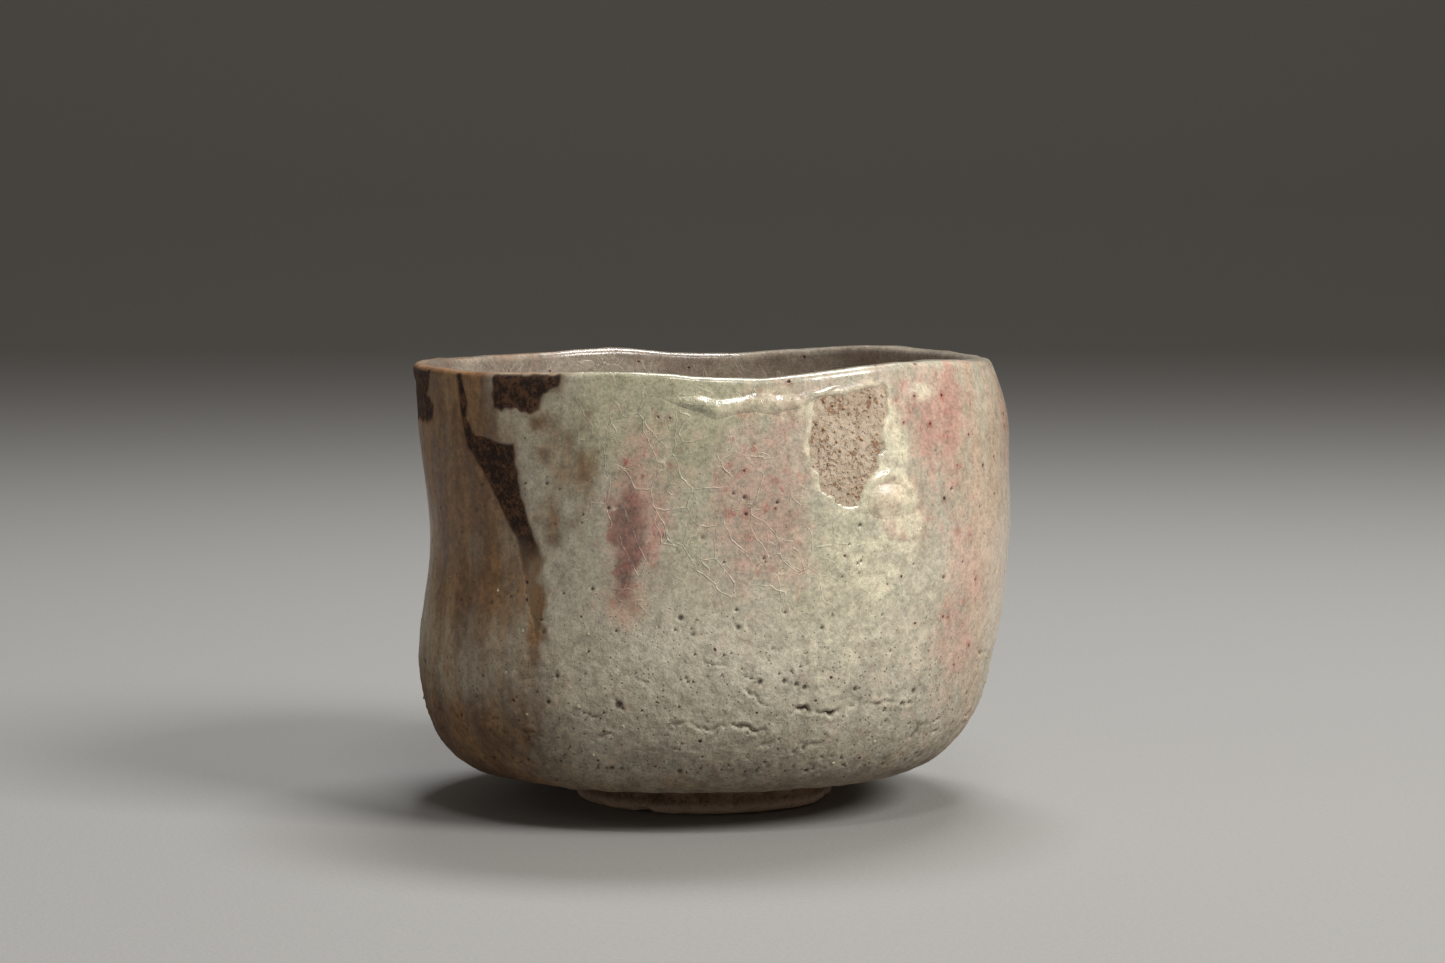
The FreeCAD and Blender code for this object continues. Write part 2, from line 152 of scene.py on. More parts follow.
def read_wall():
    """Radius and height of the skin, for each reading round the bowl: outside, lip and inside."""
    tree, owners = node_tree(SKIN_NODES)
    coat_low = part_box("outer_glaze_front")[0][2] / MM
    foot_angle = math.atan2(COAT_EDGE_RADIUS, HUB[2] - coat_low)

    def aim(turn, angle):
        """The direction at an angle from straight down, outwards at a turn."""
        side, fall = math.sin(angle), -math.cos(angle)
        return Vector((side * math.sin(turn), -side * math.cos(turn), fall))

    def flat(point):
        return math.hypot(point.x, point.y), point.z

    def from_outside(turn, angle):
        """The outermost point in a direction from the hub, and the node that it's on."""
        line = aim(turn, angle)
        point, _, face, _ = tree.ray_cast(Vector(HUB) + line * BEYOND_THE_BOWL, -line)
        return flat(point), owners[face]

    def from_inside(turn, angle):
        """The same for the first point in that direction. Above the lip there is none."""
        point, _, face, _ = tree.ray_cast(Vector(HUB), aim(turn, angle))
        return (None, "rim_glaze") if point is None else (flat(point), owners[face])

    def lip_edge(turn, look):
        """The angle at which the coat ends and the lip's bead begins."""
        low, high = math.radians(105), math.radians(128.5)
        for _ in range(18):
            middle = (low + high) / 2
            if look(turn, middle)[1] == "rim_glaze":
                high = middle
            else:
                low = middle
        return low

    outside, lip, inside = [], [], []
    for number in range(READINGS):
        turn = 2 * math.pi * number / READINGS
        outer_edge, inner_edge = lip_edge(turn, from_outside), lip_edge(turn, from_inside)
        outer_angles = np.linspace(foot_angle, outer_edge, OUTSIDE_READINGS)
        inner_angles = np.linspace(inner_edge, 0.0, INSIDE_READINGS)
        outside.append([from_outside(turn, angle)[0] for angle in outer_angles])
        inside.append([from_inside(turn, angle)[0] for angle in inner_angles])
        start, end = np.array(outside[-1][-1]), np.array(inside[-1][0])
        middle = (start + end) / 2
        over = []
        centre = Vector((middle[0] * math.sin(turn), -middle[0] * math.cos(turn), middle[1]))
        for angle in np.radians(np.linspace(3, 177, LIP_READINGS)):
            line = aim(turn, angle + math.pi / 2)
            over.append(flat(tree.ray_cast(centre + line * BEYOND_THE_LIP, -line)[0]))
        lip.append([tuple(start)] + over + [tuple(end)])
    return outside, lip, inside


def respace(runs, shares):
    """Moves each run's points to the given shares of its length."""
    spaced = []
    for run in np.array(runs):
        length = np.concatenate([[0], np.cumsum(np.hypot(*np.diff(run, axis=0).T))])
        spaced.append([np.interp(shares * length[-1], length, run[:, axis]) for axis in range(2)])
    return np.array(spaced)


def round_the_bowl(samples, turns):
    """Carries readings round the bowl to any turns, without ripples too fine for the radius."""
    waves = np.fft.rfft(samples, axis=0)[: HARMONICS + 1] / READINGS
    waves[1:] *= 2
    finest = np.maximum(samples[:, 0].mean(axis=0) / 2.2, 3)
    waves *= ease(1.15, 0.85, np.arange(HARMONICS + 1)[:, None] / finest)[:, None, :]
    phases = np.exp(1j * np.radians(turns)[:, None] * np.arange(HARMONICS + 1))
    return np.tensordot(phases, waves, axes=(1, 0)).real


def calm(run, reach=9, width=4):
    """Takes the small steps out of a run by averaging along it, and leaves its two ends where they are."""
    count = run.shape[2]
    bell = np.exp(-((np.arange(-reach, reach + 1) / width) ** 2))
    spread = np.pad(run, ((0, 0), (0, 0), (reach, reach)), "edge")
    smoothed = sum(weight * spread[:, :, k : k + count] for k, weight in enumerate(bell)) / bell.sum()
    place = np.arange(count)
    return run + (smoothed - run) * ease(0, 14, place) * ease(count - 1, count - 13, place)


turns = np.concatenate([np.linspace(*pour, endpoint=False) for pour in POURS.values()])
outer_shares = np.interp(np.linspace(0, 1, OUTER_ROWS + 1), [0, 0.10, 1], [0, 0.20, 1])
shares = [outer_shares, np.linspace(0, 1, LIP_ROWS + 1), np.linspace(0, 1, INNER_ROWS + 1)]
outer_run, lip_run, inner_run = (respace(run, share) for run, share in zip(read_wall(), shares))
radius_height = np.concatenate([outer_run, lip_run[:, :, 1:], calm(inner_run)[:, :, 1:]], axis=2)
wall_radius, wall_height = np.moveaxis(round_the_bowl(radius_height, turns), 0, 2)
wall_radius[-1] = 0
wall_height[-1] = wall_height[-1].mean()
wall = round_points(wall_radius, wall_height, np.radians(turns))
LIP_START, LIP_END, FLOOR_END = OUTER_ROWS, OUTER_ROWS + LIP_ROWS, OUTER_ROWS + LIP_ROWS + INNER_ROWS


def skin_normals(skin):
    """Unit normals of a skin of rows and columns, out of the clay."""
    along = np.roll(skin, -1, axis=1) - np.roll(skin, 1, axis=1)
    up = np.gradient(skin, axis=0)
    normal = np.cross(along, up)
    size = np.linalg.norm(normal, axis=2, keepdims=True)
    normal = normal / np.maximum(size, 1e-12)
    normal[-1] = (0, 0, 1)
    return normal


wall_normal = skin_normals(wall)

# ------------------------------------------------------------------------------ places on the wall

ARC_RADIUS = 56.0
across = wall[..., 0]
up = wall[..., 2]
centred_turn = (turns + 180) % 360 - 180
arc = np.broadcast_to(np.radians(centred_turn) * ARC_RADIUS, up.shape)
in_front = wall[..., 1] < 0
facing = ease(-2, 10, -wall[..., 1])
row_number = np.arange(FLOOR_END + 1)[:, None]
is_outer = np.broadcast_to(row_number <= LIP_START, up.shape)
outside = np.broadcast_to(1 - ease(LIP_START + 6, LIP_START + 20, row_number), up.shape)
ragged_across = 0.9 * noise(wall, 4.5, 21) + 0.55 * noise(wall, 1.5, 22)
ragged_up = 0.9 * noise(wall, 4.5, 23) + 0.55 * noise(wall, 1.5, 24)
lower = 1 - ease(26, 52, up + 5 * noise(wall, 16, 25))

# Outlines on the wall, as places across the front and heights. In the last the places lie along the arc.
WINDOW = [
    (20.6, 79.6), (27, 80.8), (33, 81.4), (32.9, 75.8), (30.8, 66.9), (27.6, 60.7), (25, 60.8),
    (20.9, 64.3), (19.3, 69.6), (19.7, 74.9),
]
STREAK = [
    (-45.0, 83.5), (-43.9, 83.5), (-42.9, 75.0), (-41.2, 72.2), (-34.1, 70.9), (-33.7, 66.6), (-32.6, 61.3),
    (-31.0, 56.0), (-29.0, 50.6), (-28.7, 43.5), (-29.8, 36.7), (-31.6, 43.5), (-32.5, 48.8), (-34.1, 54.1),
    (-35.9, 58.6), (-37.9, 62.6), (-40.0, 66.5), (-42.7, 70.6), (-44.2, 76.0),
]
LIP_PATCH = [
    (-37.5, 84.6), (-24.7, 84.9), (-25.4, 81.3), (-27.3, 80.3), (-28.5, 77.9), (-30.0, 76.7), (-33.7, 77.7),
    (-37.0, 77.6),
]
SIDE_PATCH = [
    (-61.5, 84.0), (-92, 84.0), (-90, 78.0), (-82, 74.5), (-72, 73.6), (-62, 74.4), (-61, 77.6),
    (-65, 79.0),
]


def outline_field(outline, coordinate, reach, wobble):
    """Distance to a patch's ragged edge over the whole skin, with its far places left at reach."""
    field = np.full(up.shape, float(reach))
    xs, zs = zip(*outline)
    near = (
        (coordinate > min(xs) - reach)
        & (coordinate < max(xs) + reach)
        & (up > min(zs) - reach)
        & (up < max(zs) + reach)
        & (row_number <= LIP_END)
    )
    if coordinate is across:
        near &= in_front
    field[near] = edge_distance(
        coordinate[near] + wobble * ragged_across[near], up[near] + wobble * ragged_up[near], outline
    )
    return field


window_edge = outline_field(WINDOW, across, 8, 0.75)
streak_edge = outline_field(STREAK, across, 6, 0.35)
lip_patch_edge = outline_field(LIP_PATCH, across, 6, 1.0)
side_patch_edge = outline_field(SIDE_PATCH, arc, 6, 0.9)
iron_edge = np.minimum(np.minimum(streak_edge, lip_patch_edge), side_patch_edge)


def spot(coordinate, middle, height, half_wide, half_tall, soft=0.5, seed=40):
    """A soft ragged-edged spot of 0 to 1 on the outside."""
    lean = ragged_across * 1.3
    distance = np.hypot(
        (coordinate + lean - middle) / half_wide, (up + 1.5 * ragged_up - height) / half_tall
    ) + 0.30 * noise(wall, 3.5, seed) + 0.15 * noise(wall, 1.3, seed + 1)
    shape = (1 - ease(1 - soft, 1 + soft, distance)) * outside
    return shape * facing if coordinate is across else shape


# ------------------------------------------------------------------------------------------ relief

relief = np.zeros(up.shape)
# Lumps of the hand, which every patch follows too, and a fuller shoulder on the right.
smooth_lumps = 0.30 * noise(wall, 21, 2) + 0.16 * noise(wall, 9, 3)
shoulder = np.exp(-(((up - 75) / 9) ** 2) - ((centred_turn - 92) / 34) ** 2)
smooth_lumps += 1.5 * shoulder * (1 - ease(LIP_START - 4, LIP_START + 14, row_number))
relief += smooth_lumps
relief += 0.045 * noise(wall, 4.2, 4)
tool_marks = noise(wall * np.array([0.25, 0.25, 1.0]), 2.6, 5)
sandy = 0.13 * noise(wall, 3.4, 6) + 0.06 * noise(wall, 1.6, 7) + 0.04 * noise(wall, 0.95, 8)
relief += is_outer * lower * sandy
relief += is_outer * 0.04 * tool_marks * (0.3 + lower)

# Where the lower wall crumpled as it was pressed, in seams that lie nearly level.
crumpled = is_outer * ease(0.0, 0.5, noise(wall, 15, 9) + 0.35) * ease(46, 30, up) * ease(9, 14, up)
flattened = wall * np.array([1.0, 1.0, 2.3]) + 0.8 * noise(wall, 2.0, 10)[..., None]
seams = ease(0.90, 1.0, 1 - np.abs(noise(flattened, 7.5, 11))) * ease(0.05, 0.5, noise(wall, 4.2, 12))
seams = seams * crumpled * (0.5 + 0.5 * noise(wall, 1.2, 13))

dirt = 0.85 * seams
relief -= 0.55 * seams

# Tears: the paths of the large ones at the front, with their strength, and random ones round the rest.
CRACKS = [
    ([(-5.6, 22.2), (-1.5, 21.4), (1.5, 20.6), (3.8, 21.6), (6.5, 20.9), (10.8, 20.6)], 0.85),
    ([(7.3, 27.8), (9.4, 26.8), (11.8, 25.0)], 0.8),
    ([(15.0, 24.3), (19.0, 23.9), (23.5, 22.8), (26.0, 24.2), (28.0, 25.6)], 0.95),
    ([(28.5, 24.4), (33.0, 24.2), (38.5, 23.6)], 0.6),
    ([(-20.0, 18.3), (-16.0, 18.8)], 0.8),
    ([(-33.0, 19.5), (-28.5, 18.6)], 0.5),
    ([(17.0, 17.0), (21.0, 17.6)], 0.45),
    ([(-12.0, 30.0), (-9.5, 29.3)], 0.5),
]
jag_across = across + 0.5 * noise(wall, 1.7, 31) + 0.35 * noise(wall, 0.9, 32)
jag_up = up + 0.75 * noise(wall, 2.0, 33) + 0.45 * noise(wall, 0.9, 34)
torn = np.clip(0.64 + 0.62 * noise(wall, 1.5, 35) + 0.32 * noise(wall, 0.8, 36), 0.10, 1.2)
jag_arc = arc + jag_across - across


def tear(coordinate, path, strength, near):
    """A torn crack in the clay, deepest in its middle, with raised edges."""
    distance = line_distance(coordinate[near], jag_up[near], path)
    start, end = path[0][0], path[-1][0]
    middle, half = (start + end) / 2, abs(end - start) / 2 + 0.5
    share = np.clip(1.25 - (np.abs(coordinate[near] - middle) / half) ** 2, 0.15, 1)
    share = share * torn[near] * strength
    groove = np.exp(-((distance / (0.20 + 0.13 * torn[near])) ** 2)) * share
    relief[near] -= 0.85 * groove
    relief[near] += 0.20 * np.exp(-(((distance - 0.85) / 0.5) ** 2)) * share
    dirt[near] = np.maximum(dirt[near], 0.85 * groove)


for path, strength in CRACKS:
    places, heights = zip(*path)
    near = in_front & is_outer & (up < 40) & (across > places[0] - 3) & (across < places[-1] + 3)
    near &= (up > min(heights) - 3) & (up < max(heights) + 3)
    tear(jag_across, path, strength, near)
for _ in range(34):
    middle = RANDOM.uniform(60, 292) * math.pi / 180 * ARC_RADIUS
    middle = (middle + math.pi * ARC_RADIUS) % (2 * math.pi * ARC_RADIUS) - math.pi * ARC_RADIUS
    height, half, drop = RANDOM.uniform(15, 34), RANDOM.uniform(1.2, 5.0), RANDOM.uniform(-1, 1)
    near = is_outer & (np.abs(arc - middle) < half + 3) & (np.abs(up - height) < 4)
    path = [(middle - half, height - drop), (middle, height), (middle + half, height + drop)]
    tear(jag_arc, path, RANDOM.uniform(0.35, 0.85), near)

MIDDLE_ROW, FIRST_PIT_ROW, PIT_REACH = 120, 20, 6
# Pits: place, height, half width and strength. The first lie across the front, and the rest round the arc.
FRONT_PITS = [
    (-15.0, 25.0, 0.75, 1.0), (10.3, 29.0, 0.5, 0.8), (14.6, 29.3, 0.5, 0.9), (17.0, 28.6, 0.45, 0.9),
    (18.6, 28.0, 0.5, 0.9), (16.0, 31.0, 0.35, 0.8), (-3.0, 30.0, 0.45, 0.7), (0.0, 55.0, 0.45, 0.6),
]
pit_places = list(FRONT_PITS)
for _ in range(760):
    turn = RANDOM.uniform(-180, 180)
    height = 12 + 60 * RANDOM.random() ** 2.1
    size = 0.20 + 0.34 * RANDOM.random() ** 2
    pit_places.append((turn * math.pi / 180 * ARC_RADIUS, height, size, RANDOM.uniform(0.3, 1)))
for number, (place, height, half, strength) in enumerate(pit_places):
    if number < len(FRONT_PITS):
        behind = np.maximum(wall[MIDDLE_ROW, :, 1], 0)
        column = int(np.argmin(np.hypot(across[MIDDLE_ROW] - place, behind)))
    else:
        column = int(np.argmin(np.abs(arc[0] - place)))
    row = FIRST_PIT_ROW + int(np.searchsorted(up[FIRST_PIT_ROW : LIP_START - 8, column], height))
    rows = slice(max(row - PIT_REACH, 0), min(row + PIT_REACH + 1, LIP_START))
    columns = np.arange(column - PIT_REACH - 1, column + PIT_REACH + 2) % len(turns)
    block = wall[rows][:, columns]
    distance = np.linalg.norm(block - wall[min(row, LIP_START), column], axis=2) / half
    dent = strength * np.exp(-(distance**2))
    relief[rows, columns] -= 0.42 * dent
    relief[rows, columns] += 0.08 * strength * np.exp(-(((distance - 1.7) / 0.6) ** 2))
    dirt[rows, columns] = np.maximum(dirt[rows, columns], dent)

# The coat draws back from the window and the iron places. There it is tucked under the piece that shows.
WINDOW_SUNK, IRON_SUNK, TUCK = 0.16, 0.12, 0.38
window_lip = np.exp(-(((window_edge - 0.75) / 0.6) ** 2))
window_top = ease(60, 78, up)
relief += window_lip * (0.04 + 0.08 * window_top) * (0.8 + 0.7 * noise(wall, 3, 51))
under_window = 1 - ease(-0.35, 0.45, window_edge)
under_iron = 1 - ease(-0.3, 0.3, iron_edge)
fine_only = relief - smooth_lumps
relief -= under_window * (WINDOW_SUNK + TUCK + fine_only)
near_rim = ease(LIP_START - 2, LIP_START - 11, row_number)
relief -= under_iron * (IRON_SUNK + TUCK + fine_only) * is_outer * near_rim

# The curl over the blister, the lump beside the window and the thick flow down its right edge.
RIDGE = [(29.6, 62.6), (30.8, 64.9), (33.2, 65.8), (35.6, 65.1), (37.0, 63.2)]
near_blister = in_front & is_outer & (np.abs(across - 33) < 12) & (np.abs(up - 63) < 12)
ridge_edge = np.full(up.shape, 9.0)
ridge_edge[near_blister] = line_distance(across[near_blister], up[near_blister], RIDGE)
relief += 0.55 * np.exp(-((ridge_edge / 0.85) ** 2)) * (0.8 + 0.5 * noise(wall, 2.5, 52))
blister_distance = np.full(up.shape, 9.0)
blister_distance[near_blister] = np.hypot((across[near_blister] - 33.3) * 0.86, (up[near_blister] - 61.0))
lump = np.hypot(across - 39.0, up - 79.3)
relief += np.where(in_front, 0.5 * np.exp(-((lump / 2.6) ** 2)), 0)

FLOW = [(33.9, 81.6), (34.2, 77.0), (33.6, 71.5), (31.9, 66.5)]
near_flow = in_front & is_outer & (np.abs(across - 33) < 8) & (up > 60)
flow_edge = np.full(up.shape, 9.0)
flow_edge[near_flow] = line_distance(across[near_flow], up[near_flow], FLOW)
relief += 0.14 * np.exp(-((flow_edge / 1.6) ** 2)) * (0.6 + 0.8 * noise(wall, 2.2, 53))

# The lip, the turned inside, and the coat's thin lower edge at the foot.
lip_share = ease(LIP_START - 6, LIP_START + 4, row_number)
lip_share = lip_share * (1 - ease(LIP_END - 4, LIP_END + 8, row_number))
relief += lip_share * (0.10 * noise(wall, 6.5, 61) + 0.05 * noise(wall, 2.2, 62))
inner_share = ease(LIP_END, LIP_END + 10, row_number)
turning_rings = 0.10 * np.sin(up / 2.1 + 0.8 * noise(wall, 30, 63)) * ease(20, 34, up)
relief += inner_share * (turning_rings + 0.05 * noise(wall, 3, 64))
relief[-1] = relief[-1].mean()
edge_fade = ease(0, 5, row_number * 1.0)
relief = relief * edge_fade - 0.25 * (1 - edge_fade)

skin = wall + wall_normal * relief[..., None]
normal = skin_normals(skin)

# ------------------------------------------------------------------------------- where colours lie

# Each layer adds up its spots. Those across the front come first, and then those round the arc.
blush = np.clip(
    0.6 * spot(across, -13.5, 57.5, 4.8, 15.0, 0.6, 41)
    + 0.62 * spot(across, 10.5, 61.0, 9.5, 16.0, 0.5, 42)
    + 0.35 * spot(across, -8.0, 66.0, 6.0, 11.0, 0.6, 43)
    + 0.35 * spot(across, 24.0, 79.0, 16.0, 5.0, 0.6, 44)
    + 0.60 * spot(across, 42.0, 75.5, 7.0, 11.0, 0.55, 45)
    + 0.62 * spot(across, 44.6, 77.5, 2.0, 8.0, 0.6, 40)
    + 0.45 * spot(across, 40.6, 71.5, 1.6, 5.0, 0.7, 39)
    + 0.6 * spot(across, 36.3, 59.0, 5.0, 5.5, 0.55, 46)
    + 0.7 * spot(across, 34.2, 63.6, 2.4, 0.8, 0.5, 45)
    + 0.55 * spot(across, -8.2, 54.0, 1.5, 4.2, 0.6, 47)
    + 0.55 * spot(across, 47.0, 44.0, 4.0, 20.0, 0.6, 47)
    + 0.2 * spot(across, 40.0, 30.0, 7.0, 11.0, 0.6, 48)
    + 0.7 * spot(arc, 122.0, 55.0, 16.0, 18.0, 0.5, 49)
    + 0.6 * spot(arc, -150.0, 62.0, 13.0, 15.0, 0.5, 50)
    + 0.6 * spot(arc, 168.0, 40.0, 9.0, 16.0, 0.5, 51)
    + 0.5 * spot(arc, 80.0, 68.0, 9.0, 13.0, 0.5, 52),
    0,
    1,
)
core = np.clip(
    0.9 * spot(across, -13.4, 56.5, 3.1, 9.5, 0.55, 52)
    + 0.3 * spot(across, -13.0, 47.0, 3.0, 6.0, 0.7, 53)
    + 0.32 * spot(across, 44.9, 76.5, 1.3, 7.0, 0.7, 38)
    + 0.5 * spot(arc, 121.0, 55.0, 3.6, 9.0, 0.6, 54),
    0,
    1,
)
green = np.clip(
    spot(across, -13.0, 77.0, 16.0, 11.0, 0.55, 55)
    + 0.5 * spot(across, -2.0, 60.0, 4.0, 15.0, 0.6, 56)
    + 0.8 * spot(across, 2.0, 79.5, 12.0, 5.0, 0.6, 57)
    + 0.6 * spot(across, 24.0, 50.0, 9.0, 13.0, 0.6, 58)
    + 0.7 * spot(arc, 145.0, 72.0, 22.0, 13.0, 0.6, 59),
    0,
    1,
)

# The brown side: streaks that run down, a ragged border and smoky places, and painted shade that makes the foot
# of the wall and the low left corner darker.
vertical = noise(wall * np.array([1.0, 1.0, 0.12]), 3.4, 65)
vertical += 0.5 * noise(wall * np.array([1.0, 1.0, 0.15]), 1.5, 66)
low_down = ease(48, 28, up)
blend = 6 + 13 * low_down
beyond = across + 30.5 + 0.14 * (up - 45) + 4 * low_down * noise(wall, 9, 30)
left_side = ease(1, -1, beyond / blend) * ease(25, -25, wall[..., 1] + 16 * noise(wall, 17, 29)) * outside
left_side = left_side * (1 - 0.42 * low_down * ease(15, 27, up))
brown_and_painted_shade = np.clip(left_side * (0.92 + 0.14 * vertical), 0, 1)
brown_and_painted_shade = np.maximum(brown_and_painted_shade, 0.75 * spot(across, -30.0, 41.0, 2.2, 14.0, 0.6, 68))
smoky = spot(across, -24.0, 73.0, 6.0, 6.5, 0.7, 60) + spot(across, -25.0, 58.0, 5.0, 13.0, 0.7, 62)
brown_and_painted_shade = np.maximum(brown_and_painted_shade, 0.60 * np.clip(smoky, 0, 1) * (0.7 + 0.55 * noise(wall, 3, 61)))
# Painted shade: the brown layer rises towards the foot of the wall, so the lower wall is painted darker.
brown_and_painted_shade = np.maximum(brown_and_painted_shade, (0.30 * ease(24, 12, up) + 0.25 * ease(13, 8, up)) * is_outer)
brown_and_painted_shade = np.maximum(brown_and_painted_shade, 0.5 * ease(2.2, 0.2, iron_edge) * outside)
# Painted shade: the lower left of the front is painted browner and darker.
painted_low_corner_shade = ease(36, 20, up + 5 * noise(wall, 12, 28)) * ease(-18, -42, across) * facing * is_outer
brown_and_painted_shade += (1 - brown_and_painted_shade) * 0.35 * painted_low_corner_shade

# Peach and cream: the right edge, the blister, the flow and the flecks below it, and painted highlights along
# the run and on the lump at the upper right.
peach = np.clip(ease(42, 51, across) * (0.72 + 0.75 * vertical) * outside, 0, 1) * (1 - 0.4 * lower)
peach = np.maximum(peach, 0.6 * spot(across, -13.0, 44.0, 3.0, 4.5, 0.7, 64))
blister_glow = ease(4.1, 2.3, blister_distance + 0.5 * noise(wall, 1.5, 79))
blush = np.maximum(blush, 0.85 * blister_glow)
peach = np.maximum(peach, 1.0 * blister_glow)
peach = np.maximum(peach, 0.6 * np.exp(-((ridge_edge / 1.0) ** 2)))
window_rim = ease(1.6, 0.2, np.abs(window_edge - 0.6)) * ease(76, 62, up) * in_front
milky = 0.75 * spot(across, 34.8, 72.5, 2.0, 6.0, 0.8, 75)
milky += 0.7 * window_rim * (0.5 + 0.7 * noise(wall, 1.8, 78))
cream_and_highlight = np.clip(
    0.55 * window_lip * (0.4 + 0.6 * window_top) * in_front
    + milky
    + 0.6 * np.exp(-((ridge_edge / 1.2) ** 2))
    + 0.48 * blister_glow
    + 0.9 * spot(across, 31.0, 46.0, 2.6, 1.1, 0.8, 69)
    + 0.9 * spot(across, 27.6, 49.6, 1.2, 1.0, 0.8, 70)
    + 0.8 * spot(across, 33.8, 48.4, 1.6, 0.8, 0.8, 71)
    + 0.8 * spot(across, 32.5, 52.6, 3.6, 0.9, 0.8, 72)
    + 0.6 * spot(across, 37.2, 57.5, 1.3, 3.5, 0.6, 74)
    # Thick pale glaze along the run, painted paler still as a painted highlight.
    + 0.55 * spot(across, 8.0, 79.0, 12.0, 1.9, 0.5, 73)
    # A painted highlight on the lump at the upper right.
    + 0.7 * spot(across, 39.8, 79.8, 2.1, 1.5, 0.7, 68)
    + 0.42 * spot(across, 29.0, 46.0, 14.0, 23.0, 0.7, 66),
    0,
    1,
)
crackle = np.clip(
    spot(across, -1.0, 62.0, 21.0, 21.0, 0.45, 76)
    + 0.45 * spot(across, 20, 48, 14, 10, 0.5, 77)
    + 0.6 * (1 - facing) * is_outer * (1 - lower)
    + 0.6 * (row_number > LIP_END),
    0,
    1,
)

# Iron, and what lies on the lip and inside.
iron = 1 - ease(-0.9, 0.9, np.minimum(lip_patch_edge, side_patch_edge))
iron = np.maximum(iron, 1 - ease(-0.5, 0.6, streak_edge))
iron = iron * (1 - ease(LIP_START + 2, LIP_START + 10, row_number + 2 * noise(wall, 1.5, 80)))
iron = iron * (1 - 0.70 * ease(60, 47, up + 3 * noise(wall, 5, 82)))
inside = ease(LIP_START + 8, LIP_END - 2, row_number + 0 * up)
crest = ease(LIP_START + 2, LIP_START + 11, row_number) * (1 - ease(LIP_START + 16, LIP_END, row_number))
orange = np.clip(crest * ease(-8, -40, across) * (0.7 + 0.6 * noise(wall, 4, 81)), 0, 1)
dry = np.where(is_outer, lower, 0.0)
LAYERS = {
    "tone": (blush, core, green, brown_and_painted_shade),
    "wear_and_highlight": (peach, cream_and_highlight, crackle, dry),
    "mark": (np.clip(dirt, 0, 1), iron, orange, inside),
}

# ----------------------------------------------------------------------------------- making pieces


def make_piece(name, points, faces, normals=None, layers=None, material=None):
    """A smooth mesh object at the origin, from points in millimetres."""
    mesh = bpy.data.meshes.new(name)
    mesh.from_pydata((np.asarray(points) * MM).tolist(), [], faces)
    mesh.polygons.foreach_set("use_smooth", [True] * len(mesh.polygons))
    for layer, values in (layers or {}).items():
        attribute = mesh.attributes.new(layer, "FLOAT_COLOR", "POINT")
        attribute.data.foreach_set("color", np.asarray(values, np.float32).ravel())
    mesh.update()
    if normals is not None:
        mesh.normals_split_custom_set_from_vertices(np.asarray(normals).tolist())
    piece = bpy.data.objects.new(name, mesh)
    bpy.context.scene.collection.objects.link(piece)
    if material:
        mesh.materials.append(material)
    return piece


def stack_layers(rows, columns):
    """The colour layers of part of the skin, one row of four numbers for each point."""
    layers = {}
    for name, fields in LAYERS.items():
        parts = [np.broadcast_to(field, up.shape)[rows][:, columns] for field in fields]
        layers[name] = np.stack(parts, -1).reshape(-1, 4)
    return layers


def grid_faces(grid, closed=False):
    """Quads between neighbouring points of a grid of point numbers."""
    if closed:
        grid = np.concatenate([grid, grid[:, :1]], axis=1)
    corners = [grid[:-1, :-1], grid[:-1, 1:], grid[1:, 1:], grid[1:, :-1]]
    return np.stack(corners, -1).reshape(-1, 4).tolist()


def fan(line, tip, flipped=False):
    """Triangles from a closed line of point numbers to one point."""
    pairs = zip(line, np.roll(line, -1))
    return [[b, a, tip] if flipped else [a, b, tip] for a, b in pairs]


BACK_STEP = 6
BACK_DEPTH = 1.35


def shell(name, rows, columns, material, closed=False, to_middle=False):
    """A closed shell of the coat. Its face has every point of the skin, and its hidden back every sixth.

    A closed shell goes all the way round the bowl. One that runs to the middle ends in a point there.
    """
    back_skin = wall - wall_normal * BACK_DEPTH
    face_points = skin[rows][:, columns]
    count = face_points.shape[:2]
    front = np.arange(count[0] * count[1]).reshape(count)
    back_columns = columns[::BACK_STEP]
    back_rows = rows[::BACK_STEP]
    back_points = back_skin[back_rows][:, back_columns]
    back = front.size + np.arange(back_points[..., 0].size).reshape(back_points.shape[:2])
    faces = grid_faces(front, closed) + [face[::-1] for face in grid_faces(back, closed)]

    def stitch(fine, coarse):
        """Joins an edge of the face to the same edge of the back, which is on its right."""
        for number in range(len(coarse) - 1):
            start, half = number * BACK_STEP, BACK_STEP // 2
            for k in range(BACK_STEP):
                behind = coarse[number + (k >= half)]
                faces.append([fine[start + k + 1], fine[start + k], behind])
            faces.append([fine[start + half], coarse[number], coarse[number + 1]])

    def loop(line):
        return np.append(line, line[0]) if closed else line

    back_normals = -wall_normal[back_rows][:, back_columns]
    points = [face_points.reshape(-1, 3), back_points.reshape(-1, 3)]
    normals = [normal[rows][:, columns].reshape(-1, 3), back_normals.reshape(-1, 3)]
    stitch(loop(front[0]), loop(back[0]))
    if to_middle:
        top = front.size + back.size
        points += [skin[-1][:1], back_skin[-1][:1]]
        normals += [[[0, 0, 1]], [[0, 0, -1]]]
        faces += fan(front[-1], top) + fan(back[-1], top + 1, flipped=True)
    else:
        stitch(loop(front[-1])[::-1], loop(back[-1])[::-1])
    if not closed:
        stitch(front[:, -1], back[:, -1])
        stitch(front[::-1, 0], back[::-1, 0])
    points, normals = np.concatenate(points), np.concatenate(normals)
    layers = stack_layers(rows, columns)
    for key, values in layers.items():
        layers[key] = np.concatenate([values, np.repeat(values[-1:], len(points) - len(values), axis=0)])
    return make_piece(name, points, faces, normals, layers, material)


